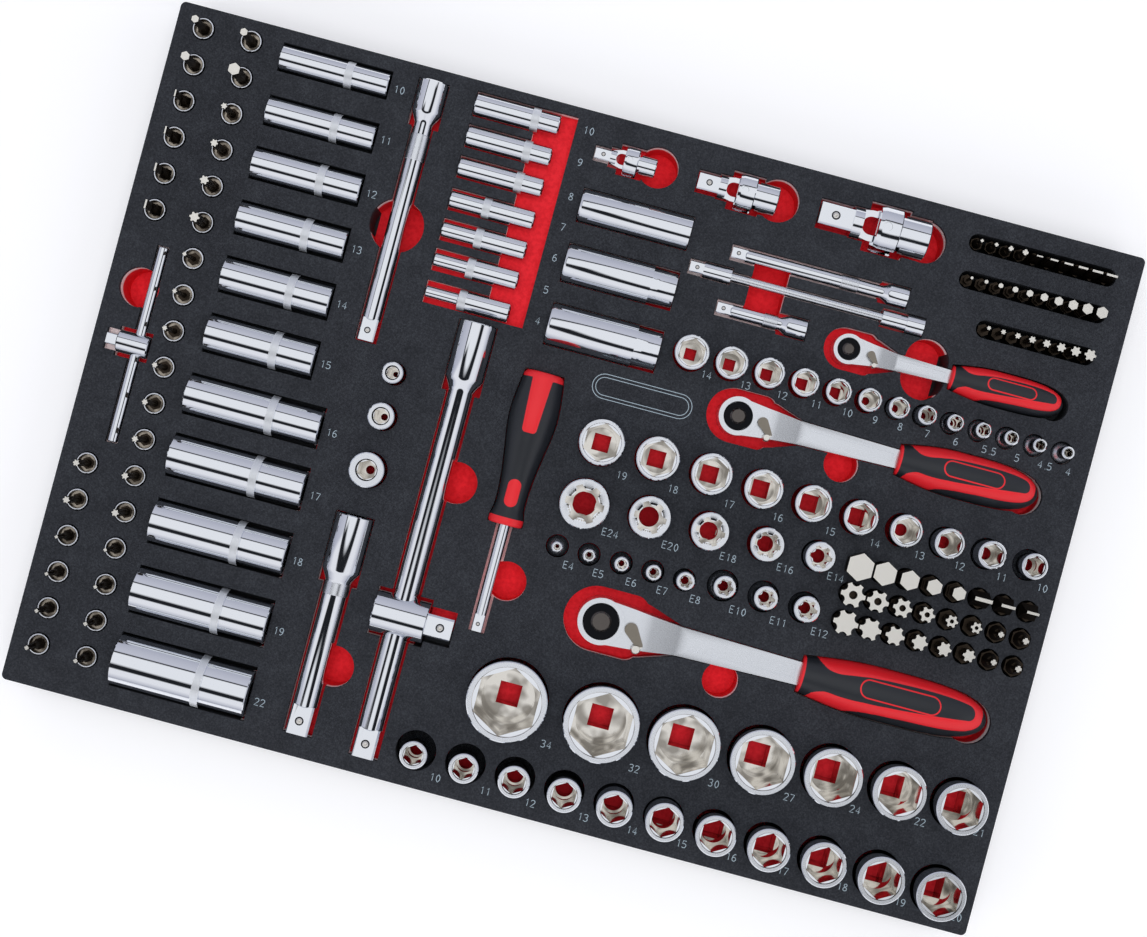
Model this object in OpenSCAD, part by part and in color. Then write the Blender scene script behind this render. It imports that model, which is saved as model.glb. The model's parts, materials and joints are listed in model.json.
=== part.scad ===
// Socket wrench set in an open two-colour foam tray, in millimetres.
// X runs along the tray, Y across it, and Z = 0 is the tray's underside.

/* [Tray] */
// Length of the tray along X
tray_l = 565; // [560:1:600]
// Width of the tray along Y
tray_w = 397; // [394:1:430]
// Height of the tray
tray_h = 40; // [38:1:60]
// Thickness of the dark top layer
top_t = 3; // [1:0.5:6]
// Radius of the tray's corners
tray_corner_r = 3; // [1:0.5:8]

/* [Fits] */
// Gap round a tool in its pocket
side_gap = 0.6; // [0.4:0.1:0.9]
// Gap between a tool and its pocket's floor
floor_gap = 0.3; // [0.2:0.1:0.6]
// Radial gap of a shaft that turns or slides in its hole
run_gap = 0.05; // [0.03:0.01:0.1]
// Gap between two moving faces of one tool
face_gap = 0.3; // [0.2:0.05:0.4]
// Extra room along a T-head's way in its pocket
slide_room = 2; // [2:0.1:2.5]
// Depth of a lying tool's axis below the tray's surface
lie_drop = 2; // [1:0.5:4]
// Size that a drive hole has over its square
square_play = 0.2; // [0.1:0.05:0.4]
// Bevel on turned edges
edge = 0.5; // [0.3:0.1:0.8]

/* [Drives] */
// Side of the 1/4 inch square
quarter_sq = 6.3; // [6:0.1:6.5]
// Side of the 3/8 inch square
three_eighths_sq = 9.5; // [9.2:0.1:9.7]
// Side of the 1/2 inch square
half_sq = 12.7; // [12.4:0.1:13]

/* [Standing sockets] */
// Sizes of the 1/4 inch sockets
quarter_sizes = [14, 13, 12, 11, 10, 9, 8, 7, 6, 5.5, 5, 4.5, 4];
// Length of a 1/4 inch socket
quarter_len = 25; // [22:1:30]
// Depth that a 1/4 inch socket stands in the tray
quarter_depth = 14; // [12:1:20]
// Diameter of the 1/4 inch drive collar
quarter_collar = 12; // [11:0.5:12.5]
// Gap between two 1/4 inch sockets
quarter_row_gap = 4.25; // [3:0.25:4.5]
// Centre of the last socket of the 1/4 inch row
quarter_row_end = [264.8, 80];
// Sizes of the 3/8 inch sockets
three_eighths_sizes = [19, 18, 17, 16, 15, 14, 13, 12, 11, 10];
// Length of a 3/8 inch socket
three_eighths_len = 30; // [26:1:36]
// Depth that a 3/8 inch socket stands in the tray
three_eighths_depth = 17; // [14:1:22]
// Diameter of the 3/8 inch drive collar
three_eighths_collar = 17; // [15:0.5:17.5]
// Gap between two 3/8 inch sockets
three_eighths_row_gap = 7.5; // [6:0.5:8]
// X of the last 3/8 inch socket and the line that the row stands on
three_eighths_row_end = [262.7, 5.3];
// Sizes of the upper row of 1/2 inch sockets
half_upper_sizes = [34, 32, 30, 27, 24, 22, 21];
// Gaps after each socket of the upper 1/2 inch row
half_upper_gaps = [10, 6, 6, 5.5, 6, 6];
// X of the last socket of the upper row and the line that it hangs from
half_upper_end = [258.4, -112.6];
// Sizes of the lower row of 1/2 inch sockets
half_lower_sizes = [10, 11, 12, 13, 14, 15, 16, 17, 18, 19, 20];
// Gap between two sockets of the lower 1/2 inch row
half_lower_gap = 7; // [5:0.5:7]
// Centre of the last socket of the lower row
half_lower_end = [259.6, -177.3];
// Length of a 1/2 inch socket up to size 24
half_len = 38; // [36:1:40]
// Height of the drive collar of a small 1/2 inch socket
half_collar_h = 13; // [10:1:18]
// Depth that a 1/2 inch socket stands in the tray
half_depth = 24; // [22:1:28]
// Diameter of the 1/2 inch drive collar
half_collar = 22; // [20:0.5:22.5]

/* [Star sockets] */
// Outer size of the star in each socket of the upper star row, E24 to E14
star_upper_sizes = [22.16, 18.49, 16.7, 14.76, 12.9];
// X of each socket of the upper star row
star_upper_x = [11.1, 48.4, 82.9, 115.6, 146];
// Line that the upper star row hangs from
star_upper_y = -3.5; // [-4:0.5:-3]
// Outer size of the star in each socket of the lower star row, E4 to E12
star_lower_sizes = [3.86, 4.73, 5.74, 6.22, 7.52, 9.42, 10.08, 11.17];
// X of each socket of the lower star row
star_lower_x = [2.5, 21.1, 40, 58.5, 77, 98.8, 122.6, 146.3];
// Line that the lower star row stands on
star_lower_y = -50.7; // [-51:0.5:-50]

/* [Lying sockets] */
// Sizes of the deep 3/8 inch sockets
deep_three_eighths_sizes = [10, 11, 12, 13, 14, 15];
// Y of each deep 3/8 inch socket
deep_three_eighths_y = [182.4, 151.3, 120.7, 88.6, 55.3, 21];
// Length of a deep 3/8 inch socket
deep_three_eighths_len = 63; // [60:1:65]
// X of the drive end of the deep 3/8 inch sockets
deep_three_eighths_x = -157; // [-158:0.5:-156]
// Sizes of the deep 1/2 inch sockets
deep_half_sizes = [16, 17, 18, 19, 22];
// Y of each deep 1/2 inch socket
deep_half_y = [-15.2, -51, -89.8, -129.8, -170.8];
// Length of a deep 1/2 inch socket
deep_half_len = 78; // [75:1:79]
// X of the drive end of the deep 1/2 inch sockets
deep_half_x = -144; // [-145:0.5:-143]
// Sizes of the deep 1/4 inch sockets
deep_quarter_sizes = [10, 9, 8, 7, 6, 5, 4];
// Y of each deep 1/4 inch socket
deep_quarter_y = [185.4, 166.8, 148.7, 129.7, 112, 94.4, 75.7];
// Length of a deep 1/4 inch socket
deep_quarter_len = 49; // [47:1:50]
// X of the drive end of the deep 1/4 inch sockets
deep_quarter_x = -58; // [-59:0.5:-57]
// Width of the open strip beside the deep 1/4 inch sockets
comb_strip_w = 23; // [18:1:26]
// Sizes of the spark plug sockets
plug_sizes = [14, 16, 18];
// Outer diameters of the spark plug sockets
plug_d = [19, 22, 24];
// Y of each spark plug socket
plug_y = [145.4, 111.8, 76.1];
// X of the left end of the spark plug sockets
plug_x = -34.7; // [-35:0.1:-34]
// Length of a spark plug socket
plug_len = 64; // [60:1:66]
// Length of the outer hexagon of the larger spark plug sockets
plug_hex_len = 14; // [10:1:16]
// Diameters of the bit adapters
adapter_d = [12, 15, 19.8];
// Y of each bit adapter
adapter_y = [25.5, 0.4, -30.7];
// X of the bit adapters
adapter_x = -111.5; // [-112:0.5:-111]
// Length of a bit adapter
adapter_len = 34; // [30:1:38]
// Height that a bit adapter shows over the tray
adapter_up = 12; // [8:1:14]

/* [Bits] */
// Across flats of a small bit's shank
small_hex = 6.35; // [6:0.05:6.5]
// Across flats of a large bit's shank
large_hex = 10; // [9.8:0.1:10.2]
// Length of a small bit
small_bit_len = 25; // [23:0.5:27]
// Length of a small bit's shank
small_shank_len = 12.5; // [10:0.5:14]
// Height of a small bit's tip over the tray
small_bit_up = 8.5; // [7:0.5:10]
// X of the first small bit of each row
small_row_x = [188.2, 188.1, 204.6];
// Y of each row of small bits
small_row_y = [182.6, 161, 136.3];
// Pitch of the small bits
small_pitch = 8.4; // [8:0.05:8.5]
// Widths of the tips of the first row: points, then blades
small_point_d = [3, 3.6, 4.6, 5.4];
// Widths of the blades of the first row
small_blade_w = [3.5, 4.5, 5, 5.5, 6, 6.3];
// Across flats of the hexagonal tips
small_hex_tips = [1.5, 2, 2.5, 3, 3.5, 4, 4.5, 5, 5.5, 6];
// Outer size of the star tips
small_star_tips = [2.4, 2.8, 3.3, 3.9, 4.4, 5, 5.6, 6.6];
// Length of a large bit
large_bit_len = 30; // [28:0.5:32]
// Length of a large bit's shank
large_shank_len = 20; // [18:0.5:22]
// Height of a large bit's tip over the tray
large_bit_up = 12; // [10:0.5:14]
// X of the first large bit of each row
large_row_x = 169.1; // [168:0.1:170]
// Y of each row of large bits
large_row_y = [-11.8, -27.8, -43.9];
// Pitch of the large bits
large_pitch = 14.25; // [14:0.05:14.3]
// Across flats of the large hexagonal tips
large_hex_tips = [14, 12, 10, 8, 7];
// Widths of the large blades
large_blade_w = [10, 8, 7];
// Outer size of the hollow star tips
large_hollow_tips = [14, 12.4, 10.8, 8.8, 7, 6.4];
// Outer size of the solid star tips
large_star_tips = [14.2, 12.4, 10.8, 9, 8, 7.2];
// Diameters of the large cross tips
large_point_d = [5.5, 6];

/* [Bit sockets] */
// Diameter of a bit socket's sleeve
sleeve_d = 12; // [11:0.5:12.5]
// Length of a bit socket's sleeve
sleeve_len = 20; // [18:1:24]
// Height of the sleeve's rim over the tray
sleeve_up = 1; // [0.5:0.5:2]
// Height of the blades over the rim
blade_up = 18; // [15:1:20]
// X of the two columns of bit sockets
bit_socket_x = [-266.7, -238.7];
// Y of the first bit socket
bit_socket_y = 186.2; // [186:0.1:187]
// Pitch of the bit sockets
bit_socket_pitch = 21.2; // [20.5:0.1:21.5]

/* [Extensions] */
// Left ends of the 1/4 inch extensions, long and short
quarter_ext_start = [[55, 141.8], [54.7, 109.5]];
// Lengths of the 1/4 inch extensions, long and short
quarter_ext_len = [103, 52.4];
// Diameter of a 1/4 inch extension's shaft
quarter_ext_d = 7.4; // [6.5:0.1:8]
// Diameter of a 1/4 inch extension's head
quarter_ext_head_d = 11.6; // [10:0.2:12]
// Left end of the flexible extension
flex_start = [34, 128.1];
// Length of the flexible extension
flex_len = 136.5; // [130:0.5:138]
// Diameter of the flexible core
flex_core_d = 5; // [4:0.2:6]
// Diameter of the flexible extension's ferrules
flex_end_d = 9; // [8.6:0.2:10]
// Lower end of the 3/8 inch extension
three_eighths_ext_start = [-132.6, 39.4];
// Length of the 3/8 inch extension
three_eighths_ext_len = 151.4; // [148:0.2:152]
// Diameter of the 3/8 inch extension's shaft
three_eighths_ext_d = 10.6; // [10:0.2:12]
// Diameter of the 3/8 inch extension's head
three_eighths_ext_head_d = 17; // [15:0.5:18]
// Length of its head
three_eighths_ext_head_len = 18; // [16:1:22]
// Lower ends of the 1/2 inch extensions, short and long
half_ext_start = [[-112.4, -185.3], [-73.1, -188.3]];
// Lengths of the 1/2 inch extensions, short and long
half_ext_len = [127.6, 253.4];
// Diameter of a 1/2 inch extension's shaft
half_ext_d = 14; // [13:0.2:15]
// Diameter of a 1/2 inch extension's head
half_ext_head_d = 21.6; // [20:0.2:22.4]
// Length of a 1/2 inch extension's head
half_ext_head_len = 32; // [26:1:36]

/* [Universal joints] */
// Left ends of the universal joints
joint_start = [[-34.4, 176.1], [26, 175.8], [97, 176]];
// Diameters of their yokes
joint_yoke_d = [17, 21.8, 28];
// Diameters of their female ends
joint_female_d = [11, 16.6, 22];
// Lengths of their squares
joint_square_len = [9, 12.3, 19.3];

/* [T-bars] */
// Lower end of the 1/4 inch T-bar's rod
tbar_start = [-256.7, -53];
// Length of the 1/4 inch T-bar's rod
tbar_len = 114; // [108:1:116]
// Diameter of the 1/4 inch T-bar's rod
tbar_d = 6; // [5:0.2:6.6]
// Y of the 1/4 inch T-bar's head
tbar_head_y = 3.4; // [0:0.2:8]
// Ends of the 1/4 inch T-bar's head and square along X
tbar_head_x = [-249.8, -267.8, -274.5];
// Diameter of the 1/4 inch T-bar's head
tbar_head_d = 13; // [12:0.5:14]
// Y of the 1/2 inch sliding T-head
slider_y = -106.4; // [-110:0.2:-100]
// Ends of the 1/2 inch sliding T-head and its square along X
slider_x = [-88.4, -57.6, -42.5];
// Diameter of the 1/2 inch sliding T-head
slider_d = 24; // [22:0.5:25]

/* [Spinner] */
// Middle of the spinner's collar
spinner_start = [-29.5, -40.7];
// Length of the spinner's handle
spinner_len = 88.6; // [84:0.2:90]
// Distance along the handle, as a part of its length, and diameter there
spinner_profile = [
    [0, 19.5], [0.05, 19], [0.11, 16.8], [0.2, 16.6], [0.33, 18.4], [0.48, 22.2],
    [0.6, 25.6], [0.7, 27.2], [0.8, 26.6], [0.92, 24], [1, 21.6]
];
// Diameter of the spinner's shaft
spinner_shaft_d = 6.6; // [6:0.1:7]
// Length of the spinner's shaft outside the handle
spinner_shaft_len = 62.5; // [58:0.5:64]

/* [Ratchets] */
// Centres of the 1/4, 3/8 and 1/2 inch ratchet heads
ratchet_at = [[132.6, 105.4], [81.9, 52.6], [37.2, -79]];
// Radius of each ratchet's head
ratchet_head_r = [8.6, 11, 13.3];
// Height of each ratchet's head
ratchet_head_h = [14, 18, 22];
// Radius of each ratchet's drive gear
ratchet_gear_r = [6.2, 8, 10.2];
// Radius of each release button
ratchet_button_r = [3.6, 4.6, 5.8];
// Distance from each head's centre to the lever's pivot
ratchet_lever_x = [13, 14.4, 17.6];
// Width of each neck at the lever
ratchet_neck_w = [12.5, 17.5, 22.6];
// Width of each shank at the grip
ratchet_shank_w = [7.6, 10.6, 13.2];
// X of the front and of the tail of each grip
ratchet_grip_x = [[192.7, 259.4], [175.9, 258.4], [153.7, 263.5]];
// Diameter of each grip at its front and at its thickest
ratchet_grip_d = [[13.4, 20], [17, 26], [21, 30]];
// Depth of a ratchet's middle plane below the tray's surface
ratchet_drop = 4; // [3.5:0.5:6]
// Travel of a release button
button_travel = 2; // [1:0.1:2.2]

/* [Finger scoops] */
// Depth of a finger scoop
scoop_depth = 22; // [18:1:30]
// Centre and radius of each round finger scoop
scoops = [
    [2.2, 176.9, 11.8], [72.7, 176.5, 12.4], [159.2, 175.4, 12.1],
    [-132.3, 107, 15.5], [-102.6, -143.5, 12], [-62, -25.1, 12],
    [-264, 35.6, 11.4], [-20.2, -71.6, 11.4],
    [177.5, 110.6, 12.6], [177.5, 100.6, 12.6], [145.9, 41.4, 10.1], [111.3, -94.4, 10.4]
];
// Scoop across the 1/4 inch extensions: ends in X and ends in Y
cross_scoop = [[69.5, 90.5], [109.5, 141.8]];

/* [Hidden] */

round_fn = 48;
// Length by which a cutter runs past a face
cut = 1;
// Overlap that joins two stacked solids of one piece
bite = 0.2;
squares = [quarter_sq, three_eighths_sq, half_sq];
lie_z = tray_h - lie_drop;

// Wrench-end diameter of each kind of socket
function quarter_od(s) = 1.25 * s + 2;
function three_eighths_od(s) = 1.25 * s + 2;
function half_od(s) = 1.25 * s + 3;
function star_od(s) = 1.2 * s + 1.5;
function deep_quarter_od(s) = s + 2.6;
// Length of a 1/2 inch socket, longer from size 27 up
function half_length(s) = half_len + (s > 26 ? 4 : 0) + (s > 31 ? 2 : 0) + (s > 33 ? 2 : 0);
// Room that a row of sockets needs, each at least as wide as its drive collar
function room(ods, collar) = [for (d = ods) max(d, collar)];
// Place of item i in a row whose last item is at end
function row_x(w, gaps, end, i) =
    i == len(w) - 1 ? end : row_x(w, gaps, end, i + 1) - (w[i] + w[i + 1]) / 2 - gaps[i];
function same(value, w) = [for (i = w) value];

quarter_w = room([for (s = quarter_sizes) quarter_od(s)], quarter_collar);
quarter_at = [
    for (i = [0 : len(quarter_w) - 1])
        [row_x(quarter_w, same(quarter_row_gap, quarter_w), quarter_row_end[0], i), quarter_row_end[1]]
];
three_eighths_w = room([for (s = three_eighths_sizes) three_eighths_od(s)], three_eighths_collar);
three_eighths_at = [
    for (i = [0 : len(three_eighths_w) - 1]) [
        row_x(three_eighths_w, same(three_eighths_row_gap, three_eighths_w), three_eighths_row_end[0], i),
        three_eighths_row_end[1] + three_eighths_w[i] / 2
    ]
];
half_upper_w = room([for (s = half_upper_sizes) half_od(s)], half_collar);
half_upper_at = [
    for (i = [0 : len(half_upper_w) - 1])
        [row_x(half_upper_w, half_upper_gaps, half_upper_end[0], i), half_upper_end[1] - half_upper_w[i] / 2]
];
half_lower_w = room([for (s = half_lower_sizes) half_od(s)], half_collar);
half_lower_at = [
    for (i = [0 : len(half_lower_w) - 1])
        [row_x(half_lower_w, same(half_lower_gap, half_lower_w), half_lower_end[0], i), half_lower_end[1]]
];
half_sizes = concat(half_upper_sizes, half_lower_sizes);
half_w = concat(half_upper_w, half_lower_w);
half_at = concat(half_upper_at, half_lower_at);

// Star sockets: 1/4 inch drive up to E8, 3/8 inch up to E18, then 1/2 inch
star_sizes = concat(star_upper_sizes, star_lower_sizes);
function star_drive(s) = s < 8 ? 0 : (s < 17 ? 1 : 2);
star_lengths = [quarter_len, three_eighths_len, half_len];
star_depths = [quarter_depth, three_eighths_depth, half_depth + 1];
star_collars = [quarter_collar, three_eighths_collar, half_collar];
function star_w(s) = max(star_od(s), star_collars[star_drive(s)]);
star_at = concat(
    [
        for (i = [0 : len(star_upper_sizes) - 1])
            [star_upper_x[i], star_upper_y - star_w(star_upper_sizes[i]) / 2]
    ],
    [
        for (i = [0 : len(star_lower_sizes) - 1])
            [star_lower_x[i], star_lower_y + star_w(star_lower_sizes[i]) / 2]
    ]
);

// Bit sockets: the right column is full, the left one leaves its middle places free
left_places = [0, 1, 2, 3, 4, 5, 12, 13, 14, 15, 16, 17];
right_places = [for (i = [0 : 17]) i];
bit_socket_at = concat(
    [for (i = left_places) [bit_socket_x[0], bit_socket_y - i * bit_socket_pitch, i]],
    [for (i = right_places) [bit_socket_x[1], bit_socket_y - i * bit_socket_pitch, i + 0.5]]
);

// Hexagon with its flats facing along X
module hex_prism(af, h) {
    rotate(30) cylinder(h = h, d = af / cos(30), $fn = 6);
}

module star(d) {
    difference() {
        circle(d = d, $fn = round_fn);
        for (a = [30 : 60 : 330]) rotate(a) translate([0.54 * d, 0]) circle(d = 0.36 * d, $fn = 24);
    }
}

module star_prism(d, h) {
    linear_extrude(h) star(d);
}

module bar(d, h) {
    cylinder(h = h, d = d, $fn = round_fn);
}

module square_bar(s, h) {
    translate([-s / 2, -s / 2, 0]) cube([s, s, h]);
}

// A drive square with its corners turned down
module drive_square(s, h) {
    intersection() {
        square_bar(s, h);
        translate([0, 0, -cut]) cylinder(h = h + cut, d = 1.3 * s, $fn = round_fn);
    }
}

// Drive cavity that opens at Z = 0
module drive_hole(s, h) {
    translate([0, 0, -cut]) square_bar(s + square_play, h + cut);
}

// A turned body: drive part of diameter low_d up to z1, then wrench part of diameter high_d
module turned_body(low_d, high_d, z1, h) {
    taper = abs(high_d - low_d) / 2;
    rotate_extrude($fn = round_fn) polygon([
        [0, 0], [low_d / 2 - edge, 0], [low_d / 2, edge], [low_d / 2, z1],
        [high_d / 2, z1 + taper + edge], [high_d / 2, h - edge], [high_d / 2 - edge, h], [0, h]
    ]);
}

// A round bar with chamfered ends
module drum(d, h) {
    rotate_extrude($fn = round_fn) polygon([
        [0, 0], [d / 2 - edge, 0], [d / 2, edge], [d / 2, h - edge], [d / 2 - edge, h], [0, h]
    ]);
}

// Web hole and round bore above a drive cavity; a wide bore runs down to the cavity
module inner_bore(bore_d, s, square_h, h) {
    wide = s < half_sq ? 1.3 * s : 1.02 * s;
    web = bore_d > wide ? 0 : 2;
    hole_d = s < half_sq ? min(0.88 * bore_d, 0.75 * s) : min(0.88 * bore_d, 0.95 * s);
    translate([0, 0, square_h - cut]) cylinder(h = h, d = hole_d, $fn = round_fn);
    translate([0, 0, square_h + web]) cylinder(h = h, d = bore_d, $fn = round_fn);
}

// A hexagon socket that stands on its drive end
module hex_socket(af, od, collar, s, h, collar_h) {
    square_h = 1.15 * s;
    wrench_h = 0.4 * h;
    corner = af / cos(30);
    difference() {
        turned_body(od > collar ? od - 3 * edge : collar, od, collar_h, h);
        drive_hole(s, square_h);
        difference() {
            inner_bore(0.9 * af, s, square_h, h);
            translate([0, 0, h - wrench_h]) square_bar(2 * od, h);
        }
        translate([0, 0, h - wrench_h]) hex_prism(af, wrench_h + cut);
        translate([0, 0, h - 1.5 * edge])
            cylinder(h = 2 * edge, d1 = corner - edge, d2 = corner + edge, $fn = round_fn);
    }
}

// A star socket that stands on its drive end
module star_socket(size, od, collar, s, h, collar_h) {
    square_h = 1.15 * s;
    wrench_h = 0.4 * h;
    difference() {
        turned_body(od > collar ? od - 3 * edge : collar, od, collar_h, h);
        drive_hole(s, square_h);
        translate([0, 0, square_h - cut]) bar(0.62 * size, h - wrench_h - square_h + 2 * cut);
        translate([0, 0, h - wrench_h]) star_prism(size, wrench_h + cut);
        translate([0, 0, h - edge]) cylinder(h = 2 * edge, d1 = 0.8 * size, d2 = size + edge, $fn = round_fn);
    }
}

// A deep socket on its drive end: drive part, raised collar, wrench part
module deep_socket(af, od, low_d, collar_d, collar_z, s, h) {
    half_collar_w = 2.25;
    square_h = 1.15 * s;
    wrench_h = 0.25 * h;
    corner = af / cos(30);
    difference() {
        union() {
            turned_body(low_d, od, collar_z, h);
            translate([0, 0, collar_z - half_collar_w]) bar(collar_d, 2 * half_collar_w);
        }
        drive_hole(s, square_h);
        difference() {
            inner_bore(0.86 * af, s, square_h, h);
            translate([0, 0, h - wrench_h]) square_bar(2 * od, h);
        }
        translate([0, 0, h - wrench_h]) hex_prism(af, wrench_h + cut);
        translate([0, 0, h - 1.5 * edge])
            cylinder(h = 2 * edge, d1 = corner - edge, d2 = corner + edge, $fn = round_fn);
    }
}

// Lays an upright tool along X with its foot on the right
module lay_left(x, y) {
    translate([x, y, lie_z]) rotate([0, -90, 0]) children();
}

// Lays an upright tool along X with its foot on the left
module lay_right(x, y) {
    translate([x, y, lie_z]) rotate([0, 90, 0]) children();
}

// Lays an upright tool along Y with its foot at the lower Y
module lay_up(x, y) {
    translate([x, y, lie_z]) rotate([-90, 0, 0]) children();
}

module quarter_sockets() {
    foot = tray_h - quarter_depth + floor_gap;
    color("silver") for (i = [0 : len(quarter_sizes) - 1])
        translate([quarter_at[i][0], quarter_at[i][1], foot])
        hex_socket(
            quarter_sizes[i], quarter_od(quarter_sizes[i]), quarter_collar,
            quarter_sq, quarter_len, quarter_depth - 2
        );
}

module three_eighths_sockets() {
    foot = tray_h - three_eighths_depth + floor_gap;
    color("silver") for (i = [0 : len(three_eighths_sizes) - 1])
        translate([three_eighths_at[i][0], three_eighths_at[i][1], foot])
            hex_socket(
                three_eighths_sizes[i], three_eighths_od(three_eighths_sizes[i]), three_eighths_collar,
                three_eighths_sq, three_eighths_len, three_eighths_depth - 3
            );
}

// A taller socket stands deeper, so that every mouth is level
function half_socket_depth(s) = half_depth + half_length(s) - half_len;

module half_sockets() {
    color("silver") for (i = [0 : len(half_sizes) - 1])
        translate([half_at[i][0], half_at[i][1], tray_h - half_socket_depth(half_sizes[i]) + floor_gap])
            hex_socket(
                half_sizes[i], half_od(half_sizes[i]), half_collar,
                half_sq, half_length(half_sizes[i]), half_collar_h
            );
}

module star_sockets() {
    color("silver") for (i = [0 : len(star_sizes) - 1]) {
        drive = star_drive(star_sizes[i]);
        translate([star_at[i][0], star_at[i][1], tray_h - star_depths[drive] + floor_gap])
            star_socket(
                star_sizes[i], star_od(star_sizes[i]), star_collars[drive],
                squares[drive], star_lengths[drive], star_depths[drive] - 3
            );
    }
}

// Collar and drive-part diameters of the deep sockets
function deep_collar(s) = 1.25 * s + 3;
function deep_quarter_collar(s) = max(s + 3.6, 12);
function deep_quarter_collar_at(s) = s > 7 ? 0.28 : 0.56;

module deep_three_eighths_sockets() {
    color("silver") for (i = [0 : len(deep_three_eighths_sizes) - 1]) {
        collar = deep_collar(deep_three_eighths_sizes[i]);
        lay_left(deep_three_eighths_x, deep_three_eighths_y[i])
            deep_socket(
                deep_three_eighths_sizes[i], collar - 1, max(collar - 2, 14), max(collar, 15),
                0.36 * deep_three_eighths_len, three_eighths_sq, deep_three_eighths_len
            );
    }
}

module deep_half_sockets() {
    color("silver") for (i = [0 : len(deep_half_sizes) - 1]) {
        collar = deep_collar(deep_half_sizes[i]);
        lay_left(deep_half_x, deep_half_y[i])
            deep_socket(
                deep_half_sizes[i], collar - 1, max(collar - 3, 20), max(collar, 22),
                0.36 * deep_half_len, half_sq, deep_half_len
            );
    }
}

module deep_quarter_sockets() {
    color("silver") for (i = [0 : len(deep_quarter_sizes) - 1]) {
        s = deep_quarter_sizes[i];
        lay_left(deep_quarter_x, deep_quarter_y[i])
            deep_socket(
                s, deep_quarter_od(s), 11.4, deep_quarter_collar(s),
                deep_quarter_collar_at(s) * deep_quarter_len, quarter_sq, deep_quarter_len
            );
    }
}

// Spark plug sockets lie with the mouth on the left; the larger two end in a hexagon
plug_wall = 1.2;
plug_bore_h = 0.55 * plug_len;
plug_wrench_h = 13;
rubber_h = 15;
function plug_hex_h(i) = i > 0 ? plug_hex_len : 0;

module plug_socket(i) {
    corner = plug_sizes[i] / cos(30);
    difference() {
        union() {
            translate([0, 0, plug_hex_h(i)]) bar(plug_d[i], plug_len - plug_hex_h(i) - plug_wall);
            translate([0, 0, plug_len - plug_wall])
                cylinder(h = plug_wall, d1 = plug_d[i], d2 = plug_d[i] - plug_wall, $fn = round_fn);
            if (i > 0) intersection() {
                hex_prism(0.9 * plug_d[i], plug_hex_h(i) + bite);
                cylinder(
                    h = 4 * plug_hex_h(i), d1 = plug_d[i] - 2 * plug_wall, d2 = plug_d[i] + plug_wall,
                    $fn = round_fn
                );
            }
        }
        drive_hole(three_eighths_sq, 1.2 * three_eighths_sq);
        translate([0, 0, plug_len - plug_bore_h]) bar(corner + bite, plug_bore_h - plug_wrench_h);
        translate([0, 0, plug_len - plug_wrench_h - cut]) hex_prism(plug_sizes[i], plug_wrench_h + 2 * cut);
    }
}

module plug_sockets() {
    color("silver") for (i = [0 : len(plug_sizes) - 1])
        lay_left(plug_x + plug_len, plug_y[i]) plug_socket(i);
}

module plug_rubbers() {
    color("dimgray") for (i = [0 : len(plug_sizes) - 1]) {
        corner = plug_sizes[i] / cos(30);
        lay_left(plug_x + plug_len, plug_y[i])
            translate([0, 0, plug_len - plug_wrench_h - rubber_h - cut]) difference() {
                bar(corner, rubber_h);
                translate([0, 0, -cut]) bar(0.62 * corner, rubber_h + 2 * cut);
            }
    }
}

// A bit adapter: drive hole below, hexagon for the bit above
adapter_hex = [quarter_sq, 8, large_hex];

module bit_adapter(i) {
    corner = adapter_hex[i] / cos(30);
    difference() {
        turned_body(adapter_d[i] - 2 * edge, adapter_d[i], 0.45 * adapter_len, adapter_len);
        drive_hole(squares[i], 0.4 * adapter_len);
        bar(0.5 * adapter_hex[i], adapter_len);
        translate([0, 0, 0.5 * adapter_len]) hex_prism(adapter_hex[i], adapter_len);
        translate([0, 0, adapter_len - 3 * edge])
            cylinder(h = 4 * edge, d1 = corner - edge, d2 = corner + 3 * edge, $fn = round_fn);
    }
}

module bit_adapters() {
    color("silver") for (i = [0 : len(adapter_d) - 1])
        translate([adapter_x, adapter_y[i], tray_h + adapter_up - adapter_len]) bit_adapter(i);
}

// Tips grow up from Z = 0
module blade_tip(w, shank, h) {
    intersection() {
        rotate([90, 0, 0]) linear_extrude(2 * shank, center = true) polygon([
            [-w / 2, h], [-w / 2, 0.55 * h], [-shank / 2, 0], [shank / 2, 0], [w / 2, 0.55 * h], [w / 2, h]
        ]);
        rotate([90, 0, 90]) linear_extrude(2 * shank, center = true) polygon([
            [-0.1 * w, h], [-0.16 * w, 0.55 * h], [-0.45 * shank, 0], [0.45 * shank, 0],
            [0.16 * w, 0.55 * h], [0.1 * w, h]
        ]);
    }
}

module cross_tip(d, shank, h) {
    point_h = 0.5 * h;
    cylinder(h = h - point_h, d1 = 0.9 * shank, d2 = d, $fn = 24);
    translate([0, 0, h - point_h - bite]) intersection() {
        cylinder(h = point_h + bite, d1 = d, d2 = 0.6 * d, $fn = 24);
        union() for (a = [0, 90]) rotate(a)
            translate([-d / 2, -0.14 * d, 0]) cube([d, 0.28 * d, point_h + bite]);
    }
}

module hex_tip(af, shank, h) {
    neck_h = 0.25 * h;
    neck = af < shank ? (af + shank) / 2 : 0.92 * shank;
    hex_prism(neck, neck_h);
    translate([0, 0, neck_h - bite]) hex_prism(af, h - neck_h + bite);
}

module star_tip(d, shank, h) {
    neck_h = 0.25 * h;
    bar(0.9 * min(d, shank), neck_h);
    translate([0, 0, neck_h - bite]) star_prism(d, h - neck_h + bite);
}

module hollow_star_tip(d, shank, h) {
    difference() {
        star_tip(d, shank, h);
        translate([0, 0, 0.6 * h]) bar(0.34 * d, h);
    }
}

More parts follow.
